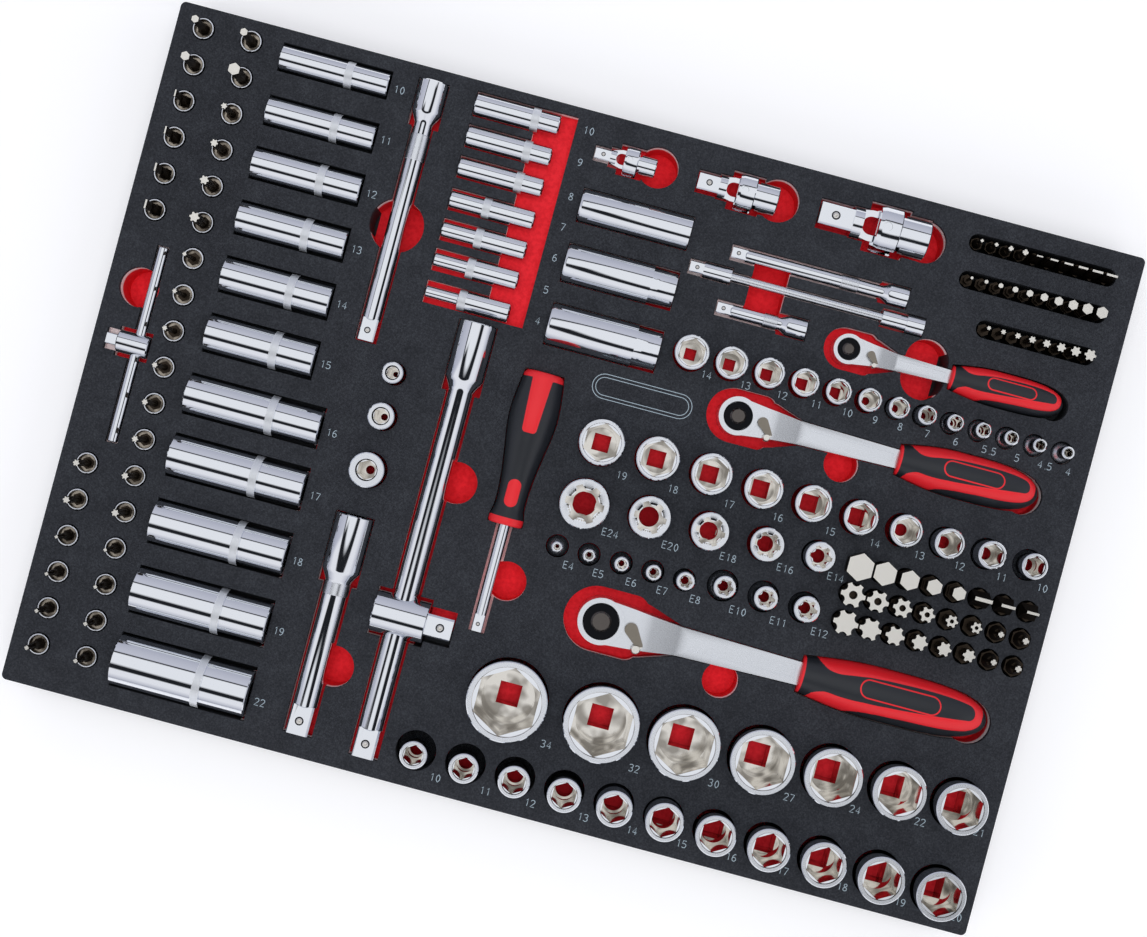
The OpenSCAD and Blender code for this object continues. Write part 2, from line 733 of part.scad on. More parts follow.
// Places of small bit i of row r, and of large bit i of row r
function small_at(r, i) = [small_row_x[r] + i * small_pitch, small_row_y[r]];
function large_at(r, i) = [large_row_x + i * large_pitch, large_row_y[r]];
small_tip_h = small_bit_len - small_shank_len + bite;
large_tip_h = large_bit_len - large_shank_len + bite;

module small_bit(at) {
    translate([at[0], at[1], tray_h + small_bit_up - small_bit_len]) {
        hex_prism(small_hex, small_shank_len);
        translate([0, 0, small_shank_len - bite]) children();
    }
}

module large_bit(at) {
    translate([at[0], at[1], tray_h + large_bit_up - large_bit_len]) {
        hex_prism(large_hex, large_shank_len);
        translate([0, 0, large_shank_len - bite]) children();
    }
}

module small_bits() {
    points = len(small_point_d);
    color("dimgray") {
        for (i = [0 : points - 1])
            small_bit(small_at(0, i)) cross_tip(small_point_d[i], small_hex, small_tip_h);
        for (i = [0 : len(small_blade_w) - 1])
            small_bit(small_at(0, points + i)) blade_tip(small_blade_w[i], small_hex, small_tip_h);
        for (i = [0 : len(small_hex_tips) - 1])
            small_bit(small_at(1, i)) hex_tip(small_hex_tips[i], small_hex, small_tip_h);
        for (i = [0 : len(small_star_tips) - 1])
            small_bit(small_at(2, i)) star_tip(small_star_tips[i], small_hex, small_tip_h);
    }
}

module large_bits() {
    hexes = len(large_hex_tips);
    hollows = len(large_hollow_tips);
    stars = len(large_star_tips);
    color("dimgray") {
        for (i = [0 : hexes - 1])
            large_bit(large_at(0, i)) hex_tip(large_hex_tips[i], large_hex, large_tip_h);
        for (i = [0 : len(large_blade_w) - 1])
            large_bit(large_at(0, hexes + i)) blade_tip(large_blade_w[i], large_hex, large_tip_h);
        for (i = [0 : hollows - 1])
            large_bit(large_at(1, i)) hollow_star_tip(large_hollow_tips[i], large_hex, large_tip_h);
        for (i = [0 : stars - 1])
            large_bit(large_at(2, i)) star_tip(large_star_tips[i], large_hex, large_tip_h);
        for (i = [0 : len(large_point_d) - 1]) {
            large_bit(large_at(1, hollows + i)) cross_tip(large_point_d[i], large_hex, large_tip_h);
            large_bit(large_at(2, stars + i)) cross_tip(large_point_d[i], large_hex, large_tip_h);
        }
    }
}

// Bit sockets: hexagon tips in places 0 and 1, blades or stars after, stars and crosses below
sleeve_foot = tray_h + sleeve_up - sleeve_len;
sleeve_mouth_h = 2.6;
shank_z = 9;
blade_h = sleeve_len - shank_z + blade_up;
blade_neck = sleeve_len - shank_z - sleeve_mouth_h;

module bit_sleeve() {
    difference() {
        turned_body(sleeve_d - edge, sleeve_d, 0.5 * sleeve_len, sleeve_len);
        drive_hole(quarter_sq, shank_z - 1);
        translate([0, 0, shank_z]) hex_prism(small_hex + 2 * run_gap, sleeve_len);
        translate([0, 0, sleeve_len - sleeve_mouth_h])
            cylinder(h = sleeve_mouth_h + cut, d1 = sleeve_d - 4 * edge, d2 = sleeve_d - edge, $fn = round_fn);
    }
}

module bit_socket_sleeves() {
    color("silver") for (p = bit_socket_at) translate([p[0], p[1], sleeve_foot]) bit_sleeve();
}

module bit_socket_tip(place, h) {
    if (place < 1) hex_tip(5, small_hex, h);
    else if (place == 1) hex_tip(6, small_hex, h);
    else if (place == 1.5) hex_tip(8, small_hex, h);
    else if (place < 6 && place == floor(place)) blade_tip(4 + place / 2, small_hex, h);
    else if (place < 6) star_tip(2 + place, small_hex, h);
    else if (place < 14) star_tip(3 + 0.3 * (place - 6), small_hex, h);
    else cross_tip(4 + 0.4 * (place - 14), small_hex, h);
}

module bit_socket_blades() {
    color("dimgray") for (p = bit_socket_at) translate([p[0], p[1], sleeve_foot + shank_z]) {
        hex_prism(small_hex, blade_neck + run_gap + bite);
        translate([0, 0, blade_neck + run_gap]) bit_socket_tip(p[2], blade_h - blade_neck - run_gap);
    }
}

// An extension on its square end
module extension(s, shaft_d, head_d, head_h, h) {
    square_h = 1.25 * s;
    taper = (head_d - shaft_d) / 2;
    drive_square(s, square_h + cut);
    difference() {
        rotate_extrude($fn = round_fn) polygon([
            [0, square_h], [shaft_d / 2 - edge, square_h], [shaft_d / 2, square_h + edge],
            [shaft_d / 2, h - head_h - 2 * taper], [head_d / 2, h - head_h],
            [head_d / 2, h - edge], [head_d / 2 - edge, h], [0, h]
        ]);
        translate([0, 0, h]) mirror([0, 0, 1]) drive_hole(s, 1.15 * s);
    }
}

module quarter_extension(i) {
    color("silver") lay_right(quarter_ext_start[i][0], quarter_ext_start[i][1])
        extension(quarter_sq, quarter_ext_d, quarter_ext_head_d, 11, quarter_ext_len[i]);
}

module quarter_extension_long() {
    quarter_extension(0);
}

module quarter_extension_short() {
    quarter_extension(1);
}

module three_eighths_extension() {
    color("silver") lay_up(three_eighths_ext_start[0], three_eighths_ext_start[1])
        extension(
            three_eighths_sq, three_eighths_ext_d, three_eighths_ext_head_d,
            three_eighths_ext_head_len, three_eighths_ext_len
        );
}

module half_extension(i) {
    color("silver") lay_up(half_ext_start[i][0], half_ext_start[i][1])
        extension(half_sq, half_ext_d, half_ext_head_d, half_ext_head_len, half_ext_len[i]);
}

module half_extension_short() {
    half_extension(0);
}

module half_extension_long() {
    half_extension(1);
}

// Flexible extension: two ferrules and the core pressed into them
flex_square_h = 8;
flex_left_h = 16;
flex_right_h = 24;
flex_grip_h = 6;
flex_core_start = flex_square_h + flex_left_h - flex_grip_h;
flex_core_len = flex_len - flex_right_h - flex_core_start + flex_grip_h;

module flex_ends() {
    color("silver") lay_right(flex_start[0], flex_start[1]) {
        drive_square(quarter_sq, flex_square_h + cut);
        difference() {
            translate([0, 0, flex_square_h]) bar(flex_end_d, flex_left_h);
            translate([0, 0, flex_core_start]) bar(flex_core_d, flex_left_h);
        }
        difference() {
            translate([0, 0, flex_len - flex_right_h]) union() {
                bar(flex_end_d, flex_right_h);
                translate([0, 0, flex_right_h - 10]) bar(flex_end_d + 2, 10);
            }
            translate([0, 0, flex_len - flex_right_h - cut]) bar(flex_core_d, flex_grip_h + cut);
            translate([0, 0, flex_len]) mirror([0, 0, 1]) drive_hole(quarter_sq, 8);
        }
    }
}

module flex_core() {
    color("gray") lay_right(flex_start[0] + flex_core_start, flex_start[1]) bar(flex_core_d, flex_core_len);
}

// Universal joint i, drawn along X with its pivot at the origin. Every size follows the yoke's
// diameter: the drive yoke's ears lie at the sides, the socket yoke's ears above and below.
function joint_k(i) = joint_yoke_d[i] / 28;
function joint_pin_d(i) = 4.8 * joint_k(i);
function joint_neck(i) = 18.5 * joint_k(i);
function joint_tail(i) = 25.3 * joint_k(i);
function joint_ear_in(i) = 5.2 * joint_k(i);
function joint_ear_out(i) = 9 * joint_k(i);
function joint_cheek_z(i) = 7 * joint_k(i);
function joint_web_x(i) = 10.4 * joint_k(i);

module at_joint(i) {
    translate([joint_start[i][0] + joint_square_len[i] + joint_neck(i), joint_start[i][1], lie_z]) children();
}

module joint_pin_hole(i) {
    translate([0, 0, -joint_yoke_d[i]]) bar(joint_pin_d(i) + 2 * run_gap, 2 * joint_yoke_d[i]);
}

module joint_yoke(i) {
    s = squares[i];
    ear_r = 6.3 * joint_k(i);
    arm_z = 3.5 * joint_k(i);
    web_x = 13 * joint_k(i);
    ear_w = joint_ear_out(i) - joint_ear_in(i);
    color("silver") at_joint(i) {
        translate([-joint_neck(i) - joint_square_len[i], 0, 0]) rotate([0, 90, 0])
            drive_square(s, joint_square_len[i] + cut);
        translate([-joint_neck(i), 0, 0]) rotate([0, 90, 0])
            bar(min(2 * joint_ear_out(i), 1.37 * s), joint_neck(i) - web_x);
        difference() {
            union() {
                for (side = [-1, 1]) translate([0, side * (joint_ear_in(i) + ear_w / 2), 0])
                    rotate([90, 0, 0]) cylinder(h = ear_w, r = ear_r, center = true, $fn = round_fn);
                linear_extrude(2 * arm_z, center = true) fork_plan(i, web_x);
            }
            rotate([90, 0, 0]) joint_pin_hole(i);
        }
    }
}

// Two arms that spread from the drive square to the ears, with a round window between them
module fork_plan(i, web_x) {
    neck_w = 0.56 * squares[i];
    out = joint_ear_out(i) - bite;
    window_x = joint_ear_in(i) - web_x;
    difference() {
        polygon([
            [-joint_neck(i), -neck_w], [-0.45 * joint_neck(i), -out], [0, -out],
            [0, out], [-0.45 * joint_neck(i), out], [-joint_neck(i), neck_w]
        ]);
        translate([window_x, 0]) circle(r = joint_ear_in(i), $fn = round_fn);
        translate([window_x, -joint_ear_in(i)]) square([web_x, 2 * joint_ear_in(i)]);
    }
}

module joint_cross(i) {
    block = 2 * (joint_ear_in(i) - face_gap * joint_k(i));
    color("silver") at_joint(i) {
        cube([block, block, 2 * (joint_cheek_z(i) - face_gap * joint_k(i))], center = true);
        cylinder(h = joint_yoke_d[i] - 2 * edge, d = joint_pin_d(i), center = true, $fn = round_fn);
        rotate([90, 0, 0])
            cylinder(h = 2 * joint_ear_out(i), d = joint_pin_d(i), center = true, $fn = round_fn);
    }
}

// Two cheeks over the fork, rounded off at the end so they clear the pocket's floor as they tilt
module joint_cheeks(i, cheek_x, drum_x) {
    r = joint_yoke_d[i] / 2;
    reach = r + floor_gap / 2;
    translate([-cheek_x, 0, 0]) rotate([0, 90, 0]) rotate_extrude($fn = round_fn) polygon([
        [0, 0], [sqrt(reach * reach - cheek_x * cheek_x), 0], [r, cheek_x - sqrt(reach * reach - r * r)],
        [r, cheek_x + drum_x - edge], [r - edge, cheek_x + drum_x], [0, cheek_x + drum_x]
    ]);
}

module joint_socket(i) {
    tail_h = joint_tail(i) - joint_web_x(i);
    color("silver") at_joint(i) difference() {
        union() {
            joint_cheeks(i, 4.7 * joint_k(i), 8 * joint_k(i));
            rotate([0, 90, 0]) drum(joint_female_d[i], joint_tail(i));
        }
        translate([-joint_yoke_d[i], -joint_yoke_d[i], -joint_cheek_z(i)])
            cube([joint_yoke_d[i] + joint_web_x(i), 2 * joint_yoke_d[i], 2 * joint_cheek_z(i)]);
        joint_pin_hole(i);
        translate([joint_tail(i), 0, 0]) rotate([0, -90, 0]) drive_hole(squares[i], tail_h - 2 * joint_k(i));
    }
}

module joint_yoke_0() {
    joint_yoke(0);
}

module joint_cross_0() {
    joint_cross(0);
}

module joint_socket_0() {
    joint_socket(0);
}

module joint_yoke_1() {
    joint_yoke(1);
}

module joint_cross_1() {
    joint_cross(1);
}

module joint_socket_1() {
    joint_socket(1);
}

module joint_yoke_2() {
    joint_yoke(2);
}

module joint_cross_2() {
    joint_cross(2);
}

module joint_socket_2() {
    joint_socket(2);
}

// T-bars: a head that slides on a rod, with a square to one side
module tbar_rod() {
    color("silver") lay_up(tbar_start[0], tbar_start[1]) drum(tbar_d, tbar_len);
}

// x holds the head's far end, its near end and the square's end
module tee_head(x, y, d, s, rod_x, rod_d) {
    turn = x[2] < x[0] ? -90 : 90;
    body_l = abs(x[1] - x[0]);
    square_l = abs(x[2] - x[1]);
    color("silver") difference() {
        translate([x[0], y, lie_z]) rotate([0, turn, 0]) {
            drum(d, body_l);
            translate([0, 0, body_l - cut]) drive_square(s, square_l + cut);
        }
        translate([rod_x, y - d, lie_z]) rotate([-90, 0, 0]) bar(rod_d + 2 * run_gap, 2 * d);
    }
}

module tbar_head() {
    tee_head(tbar_head_x, tbar_head_y, tbar_head_d, quarter_sq, tbar_start[0], tbar_d);
}

module slider_head() {
    tee_head(slider_x, slider_y, slider_d, half_sq, half_ext_start[1][0], half_ext_d);
}

// Spinner: a turned handle with two inlays on top, and a shaft that ends in a square
inlay_proud = 0.2;
inlay_t = 3;
shaft_in = 30;
// Each inlay: its start and end as parts of the handle's length, and its width
spinner_inlay_spans = [[0.6, 0.97, 9.6], [0.12, 0.3, 7.6]];

module at_spinner() {
    lay_up(spinner_start[0], spinner_start[1]) children();
}

module spinner_form(proud) {
    rotate_extrude($fn = round_fn) polygon(concat(
        [[0, 0]], [for (p = spinner_profile) [p[1] / 2 + proud, p[0] * spinner_len]], [[0, spinner_len]]
    ));
}

// Upright prism over the inlay, down to its floor
module spinner_inlay_prism(span) {
    l = (span[1] - span[0]) * spinner_len;
    floor_r = min([for (p = spinner_profile) if (p[0] > span[0] - 0.1 && p[0] < span[1]) p[1] / 2]) - inlay_t;
    translate([spinner_start[0], spinner_start[1] + span[0] * spinner_len, lie_z + floor_r])
        linear_extrude(spinner_len) hull() {
            translate([0, span[2] / 2]) circle(d = span[2], $fn = round_fn);
            translate([0, l - span[2] / 2]) circle(d = span[2], $fn = round_fn);
        }
}

module spinner_handle() {
    color("dimgray") difference() {
        at_spinner() spinner_form(0);
        for (span = spinner_inlay_spans) spinner_inlay_prism(span);
        at_spinner() translate([0, 0, -cut]) bar(spinner_shaft_d, shaft_in + cut);
    }
}

module spinner_inlays() {
    color("red") for (span = spinner_inlay_spans) intersection() {
        at_spinner() spinner_form(inlay_proud);
        spinner_inlay_prism(span);
    }
}

module spinner_shaft() {
    square_h = 1.4 * quarter_sq;
    color("silver") at_spinner() {
        translate([0, 0, square_h - spinner_shaft_len])
            bar(spinner_shaft_d, spinner_shaft_len - square_h + shaft_in);
        translate([0, 0, -spinner_shaft_len]) drive_square(quarter_sq, square_h + cut);
    }
}

// Ratchet i lies along X, with the middle of its head at the origin and its square down
plan_fn = 32;
function neck_h(i) = ratchet_head_h[i] - 3;
function shank_h(i) = 0.76 * ratchet_shank_w[i];
function tooth_h(i) = 0.3 * ratchet_head_h[i];
function hub_r(i) = 0.85 * ratchet_gear_r[i];
function lever_k(i) = ratchet_neck_w[i] / 22.6;
function lever_shaft_r(i) = 2.4 * lever_k(i);
function pawl_r(i) = min(ratchet_lever_x[i] - ratchet_gear_r[i] - face_gap, 0.38 * ratchet_neck_w[i]);
function button_h(i) = 0.22 * ratchet_head_h[i];
function gear_top(i) = ratchet_head_h[i] / 2 - 0.2;
function grip_start(i) = ratchet_grip_x[i][0] - ratchet_at[i][0];
function grip_len(i) = ratchet_grip_x[i][1] - ratchet_grip_x[i][0];
function shank_start(i) = ratchet_lever_x[i] + 1.2 * ratchet_neck_w[i];
function tang_len(i) = 0.6 * grip_len(i);

// Radius of a grip at part t of its length: swells to its thickest, then rounds off
grip_thick_at = 0.4;
grip_steps = 14;
function grip_r(i, t) = t < grip_thick_at
    ? ratchet_grip_d[i][0] / 2
        + (ratchet_grip_d[i][1] - ratchet_grip_d[i][0]) / 2 * sin(90 * t / grip_thick_at)
    : ratchet_grip_d[i][1] / 2 * sqrt(1 - pow((t - grip_thick_at) / (1 - grip_thick_at), 4));
function grip_side(i, grow, stretch) = [
    for (k = [0 : grip_steps - 1])
        [k / grip_steps * (grip_len(i) + stretch), grip_r(i, k / grip_steps) + grow]
];

module at_ratchet(i) {
    translate([ratchet_at[i][0], ratchet_at[i][1], tray_h - ratchet_drop]) children();
}

// Plan of the head and neck
module head_plan(i) {
    circle(r = ratchet_head_r[i], $fn = round_fn);
    hull() {
        circle(r = 0.96 * ratchet_head_r[i], $fn = plan_fn);
        translate([ratchet_lever_x[i], 0]) circle(d = ratchet_neck_w[i], $fn = plan_fn);
    }
}

// Plan of the shank, from the neck to the grip
module shank_plan(i, grow) {
    front_w = ratchet_neck_w[i] / 2 + grow;
    mid_w = 0.63 * ratchet_shank_w[i] + grow;
    end_w = ratchet_shank_w[i] / 2 + grow;
    x = [ratchet_lever_x[i], shank_start(i), grip_start(i)];
    polygon([
        [x[0], -front_w], [x[1], -mid_w], [x[2], -end_w],
        [x[2], end_w], [x[1], mid_w], [x[0], front_w]
    ]);
}

module tang(i) {
    w = 0.6 * ratchet_shank_w[i];
    t = 0.8 * shank_h(i);
    translate([grip_start(i) - cut, -w / 2, -t / 2]) cube([tang_len(i) + cut, w, t]);
}

module ratchet_body(i) {
    neck_end = ratchet_lever_x[i] + ratchet_neck_w[i] / 2;
    panel_l = 0.86 * (grip_start(i) - shank_start(i));
    panel_w = 0.48 * ratchet_shank_w[i];
    color("silver") at_ratchet(i) difference() {
        union() {
            cylinder(h = ratchet_head_h[i], r = ratchet_head_r[i], center = true, $fn = round_fn);
            intersection() {
                linear_extrude(neck_h(i), center = true) {
                    head_plan(i);
                    shank_plan(i, 0);
                }
                rotate([90, 0, 0]) linear_extrude(4 * ratchet_head_r[i], center = true) polygon([
                    [-ratchet_head_r[i], -neck_h(i) / 2], [neck_end, -neck_h(i) / 2],
                    [shank_start(i), -shank_h(i) / 2], [grip_start(i), -shank_h(i) / 2],
                    [grip_start(i), shank_h(i) / 2], [shank_start(i), shank_h(i) / 2],
                    [neck_end, neck_h(i) / 2], [-ratchet_head_r[i], neck_h(i) / 2]
                ]);
            }
            tang(i);
        }
        translate([0, 0, -tooth_h(i) / 2 - face_gap])
            bar(2 * (ratchet_gear_r[i] + face_gap), ratchet_head_h[i]);
        cylinder(h = 2 * ratchet_head_h[i], r = hub_r(i) + run_gap, center = true, $fn = round_fn);
        translate([ratchet_lever_x[i], 0, 0]) {
            cylinder(h = tooth_h(i) + 2 * face_gap, r = pawl_r(i) + face_gap, center = true, $fn = round_fn);
            bar(2 * (lever_shaft_r(i) + run_gap), ratchet_head_h[i]);
        }
        translate([grip_start(i) - panel_l - 3, -panel_w / 2, shank_h(i) / 2 - edge])
            cube([panel_l, panel_w, cut]);
    }
}

module grip_form(i, proud) {
    translate([grip_start(i), 0, 0]) rotate([0, 90, 0]) rotate_extrude($fn = round_fn)
        polygon(concat(
            [[0, 0]],
            [for (p = grip_side(i, proud, 0)) [p[1], p[0]]],
            [[0, grip_len(i)]]
        ));
}

// Upright stadium prism over the pad on top of a grip
module pad_prism(i) {
    l = 0.41 * grip_len(i);
    w = 0.33 * ratchet_grip_d[i][1];
    translate([grip_start(i) + 0.5 * grip_len(i), 0, ratchet_grip_d[i][1] / 2 - inlay_t])
        linear_extrude(ratchet_grip_d[i][1]) hull() for (side = [-1, 1])
            translate([side * (l - w) / 2, 0]) circle(d = w, $fn = plan_fn);
}

module ratchet_grip(i) {
    color("dimgray") at_ratchet(i) difference() {
        grip_form(i, 0);
        tang(i);
        pad_prism(i);
    }
}

module ratchet_inlay(i) {
    color("red") at_ratchet(i) intersection() {
        grip_form(i, inlay_proud);
        pad_prism(i);
    }
}

gear_teeth = 36;
module ratchet_gear(i) {
    step = 360 / gear_teeth;
    tip_r = ratchet_gear_r[i];
    root_r = 0.93 * tip_r;
    color("dimgray") at_ratchet(i) difference() {
        union() {
            linear_extrude(tooth_h(i), center = true) polygon([
                for (k = [0 : gear_teeth - 1], side = [0, 1])
                    (side == 0 ? tip_r : root_r) * [cos((k + side / 2) * step), sin((k + side / 2) * step)]
            ]);
            bar(2 * (tip_r - bite), gear_top(i));
            translate([0, 0, -ratchet_head_h[i] / 2]) bar(2 * hub_r(i), ratchet_head_h[i] / 2);
            translate([0, 0, -ratchet_head_h[i] / 2 - 1.2 * squares[i]])
                drive_square(squares[i], 1.2 * squares[i] + cut);
        }
        translate([0, 0, gear_top(i) - button_h(i) - button_travel - face_gap])
            bar(2 * (ratchet_button_r[i] + run_gap), ratchet_head_h[i]);
    }
}

module ratchet_button(i) {
    color("silver") at_ratchet(i) translate([0, 0, gear_top(i) - button_h(i)])
        rotate_extrude($fn = round_fn) polygon([
            [0, 0], [ratchet_button_r[i], 0], [ratchet_button_r[i], button_h(i)],
            [ratchet_button_r[i] - 1, button_h(i) + 1], [0, button_h(i) + 1]
        ]);
}

// Lever: a round cap on a shaft, an arm towards the neck's edge and a thumb stud
lever_arm = [6.5, -7.5];
lever_thumb = [5, -10];
lever_t = 2.4;
module ratchet_lever(i) {
    k = lever_k(i);
    color("gray") at_ratchet(i) translate([ratchet_lever_x[i], 0, 0]) {
        translate([0, 0, neck_h(i) / 2 + face_gap]) {
            linear_extrude(lever_t) hull() {
                circle(r = 3.8 * k, $fn = plan_fn);
                translate(k * lever_arm) circle(r = 2 * k, $fn = plan_fn);
            }
            translate(k * lever_thumb) cylinder(h = lever_t + 1, r1 = 3 * k, r2 = 2.2 * k, $fn = plan_fn);
        }
        bar(2 * lever_shaft_r(i), neck_h(i) / 2 + lever_t);
    }
}

// Pawl cam on the lever's shaft, beside the gear's teeth
module ratchet_pawl(i) {
    color("gray") at_ratchet(i) translate([ratchet_lever_x[i], 0, 0]) difference() {
        cylinder(h = tooth_h(i), r = pawl_r(i), center = true, $fn = round_fn);
        bar(2 * lever_shaft_r(i), tooth_h(i));
    }
}

module ratchet_body_0() {
    ratchet_body(0);
}

module ratchet_body_1() {
    ratchet_body(1);
}

module ratchet_body_2() {
    ratchet_body(2);
}

module ratchet_grip_0() {
    ratchet_grip(0);
}

module ratchet_grip_1() {
    ratchet_grip(1);
}

module ratchet_grip_2() {
    ratchet_grip(2);
}

module ratchet_inlay_0() {
    ratchet_inlay(0);
}

module ratchet_inlay_1() {
    ratchet_inlay(1);
}

module ratchet_inlay_2() {
    ratchet_inlay(2);
}

module ratchet_gear_0() {
    ratchet_gear(0);
}

module ratchet_gear_1() {
    ratchet_gear(1);
}

module ratchet_gear_2() {
    ratchet_gear(2);
}

module ratchet_button_0() {
    ratchet_button(0);
}

module ratchet_button_1() {
    ratchet_button(1);
}

module ratchet_button_2() {
    ratchet_button(2);
}

module ratchet_lever_0() {
    ratchet_lever(0);
}

module ratchet_lever_1() {
    ratchet_lever(1);
}

module ratchet_lever_2() {
    ratchet_lever(2);
}

module ratchet_pawl_0() {
    ratchet_pawl(0);
}

module ratchet_pawl_1() {
    ratchet_pawl(1);
}

module ratchet_pawl_2() {
    ratchet_pawl(2);
}

// Cutters for the tray: each runs from its floor, at a depth below the surface, past the top
module trough(x, y, w, l, depth) {
    translate([x - w / 2, y - l / 2, tray_h - depth]) cube([w, l, depth + cut]);
}

module well(x, y, d, depth) {
    translate([x, y, tray_h - depth]) bar(d, depth + cut);
}

module lowered(depth) {
    translate([0, 0, tray_h - depth]) linear_extrude(depth + cut) children();
}

// Depth of the pocket for a lying tool of diameter d
function lie_depth(d) = lie_drop + d / 2 + floor_gap;

// Pocket along X from x0 to x1
module trough_x(x0, x1, y, d, room) {
    trough((x0 + x1) / 2, y, x1 - x0 + 2 * side_gap, d + 2 * room, lie_depth(d));
}

// Pocket along Y from y0 to y1
module trough_y(x, y0, y1, d, room) {
    trough(x, (y0 + y1) / 2, d + 2 * room, y1 - y0 + 2 * side_gap, lie_depth(d));
}

module standing_pockets() {
    grow = 2 * side_gap;
    for (i = [0 : len(quarter_at) - 1])
        well(quarter_at[i][0], quarter_at[i][1], quarter_w[i] + grow, quarter_depth);
    for (i = [0 : len(three_eighths_at) - 1])
        well(three_eighths_at[i][0], three_eighths_at[i][1], three_eighths_w[i] + grow, three_eighths_depth);
    for (i = [0 : len(half_at) - 1])
        well(half_at[i][0], half_at[i][1], half_w[i] + grow, half_socket_depth(half_sizes[i]));
    for (i = [0 : len(star_at) - 1])
        well(star_at[i][0], star_at[i][1], star_w(star_sizes[i]) + grow,
            star_depths[star_drive(star_sizes[i])]);
    for (i = [0 : len(adapter_d) - 1])
        well(adapter_x, adapter_y[i], adapter_d[i] + grow, adapter_len - adapter_up + floor_gap);
    for (p = bit_socket_at) well(p[0], p[1], sleeve_d + grow, sleeve_len - sleeve_up + floor_gap);
}

module bit_pockets() {
    small_depth = small_bit_len - small_bit_up + floor_gap;
    large_depth = large_bit_len - large_bit_up + floor_gap;
    counts = [len(small_point_d) + len(small_blade_w), len(small_hex_tips), len(small_star_tips)];
    slot_w = small_hex / cos(30) + 5 * side_gap;
    for (r = [0 : 2]) {
        first = small_at(r, 0);
        last = small_at(r, counts[r] - 1);
        well(first[0], first[1], slot_w, small_depth);
        well(last[0], last[1], slot_w, small_depth);
        trough((first[0] + last[0]) / 2, first[1], last[0] - first[0], slot_w, small_depth);
        for (i = [0 : len(large_star_tips) + len(large_point_d) - 1])
            well(large_at(r, i)[0], large_at(r, i)[1], large_hex / cos(30) + 2 * side_gap, large_depth);
    }
}

module lying_socket_pockets() {
    for (i = [0 : len(deep_three_eighths_sizes) - 1]) {
        d = max(deep_collar(deep_three_eighths_sizes[i]), 15);
        start = deep_three_eighths_x - deep_three_eighths_len;
        trough_x(start, deep_three_eighths_x, deep_three_eighths_y[i], d, side_gap);
    }
    for (i = [0 : len(deep_half_sizes) - 1]) {
        d = max(deep_collar(deep_half_sizes[i]), 22);
        trough_x(deep_half_x - deep_half_len, deep_half_x, deep_half_y[i], d, side_gap);
    }
    for (i = [0 : len(deep_quarter_sizes) - 1]) {
        d = deep_quarter_collar(deep_quarter_sizes[i]);
        trough_x(deep_quarter_x - deep_quarter_len, deep_quarter_x, deep_quarter_y[i], d, side_gap);
    }
    for (i = [0 : len(plug_sizes) - 1])
        trough_x(plug_x, plug_x + plug_len, plug_y[i], plug_d[i], side_gap);
    comb_strip();
}

// Open strip that the drive ends of the deep 1/4 inch sockets share
module comb_strip() {
    top = deep_quarter_y[0] + deep_quarter_collar(deep_quarter_sizes[0]) / 2 + side_gap;
    low = deep_quarter_y[6] - deep_quarter_collar(deep_quarter_sizes[6]) / 2 - side_gap;
    depth = lie_depth(deep_quarter_collar(deep_quarter_sizes[0]));
    trough(deep_quarter_x - 2, (top + low) / 2, comb_strip_w, top - low, depth);
}

module extension_pockets() {
    for (i = [0, 1]) {
        x = quarter_ext_start[i][0];
        y = quarter_ext_start[i][1];
        head_x = x + quarter_ext_len[i] - 16;
        trough_x(x, head_x, y, quarter_ext_d + 1, side_gap);
        trough_x(head_x, x + quarter_ext_len[i], y, quarter_ext_head_d, side_gap);
    }
    flex_x = flex_start[0];
    flex_y = flex_start[1];
    trough_x(flex_x, flex_x + flex_square_h, flex_y, flex_core_d + 3, side_gap);
    trough_x(flex_x + flex_square_h, flex_x + flex_square_h + flex_left_h, flex_y, flex_end_d, side_gap);
    trough_x(flex_x, flex_x + flex_len, flex_y, flex_core_d, side_gap);
    trough_x(flex_x + flex_len - flex_right_h, flex_x + flex_len, flex_y, flex_end_d + 2, side_gap / 2);
    long_pocket(
        three_eighths_ext_start, three_eighths_ext_len, 1.3 * three_eighths_sq,
        three_eighths_ext_head_d, three_eighths_ext_head_len + 8
    );
    for (i = [0, 1])
        long_pocket(
            half_ext_start[i], half_ext_len[i], 1.3 * half_sq,
            half_ext_head_d, half_ext_head_len + 8
        );
}

// Pocket of an extension along Y: shaft width below, head width at the upper end
module long_pocket(start, l, d, head_d, head_l) {
    trough_y(start[0], start[1], start[1] + l, d, side_gap / 2);
    trough_y(start[0], start[1] + l - head_l, start[1] + l, head_d, side_gap);
}

// A universal joint's pocket leaves room for its free end to swing a little as it is lifted
module joint_pockets() {
    for (i = [0 : 2]) {
        y = joint_start[i][1];
        neck_x = joint_start[i][0] + joint_square_len[i];
        pivot_x = neck_x + joint_neck(i);
        trough_x(joint_start[i][0], neck_x, y, 1.3 * squares[i], side_gap);
        trough_x(neck_x, pivot_x, y, 2 * joint_ear_out(i), side_gap);
        trough_x(
            pivot_x - 9.6 * joint_k(i), pivot_x + 13 * joint_k(i),
            y, joint_yoke_d[i], side_gap
        );
        trough_x(pivot_x, pivot_x + joint_tail(i), y, joint_female_d[i], 2.5 * side_gap);
    }
}

module tee_pockets() {
    trough_y(tbar_start[0], tbar_start[1], tbar_start[1] + tbar_len, tbar_d, side_gap);
    tee_pocket(tbar_head_x, tbar_head_y, tbar_head_d, quarter_sq);
    tee_pocket(slider_x, slider_y, slider_d, half_sq);
}

module tee_pocket(x, y, d, s) {
    low = min(x[0], x[1]);
    high = max(x[0], x[1]);
    trough_x(low, high, y, d, slide_room);
    trough_x(min(x[1], x[2]), max(x[1], x[2]), y, 1.3 * s, slide_room);
}

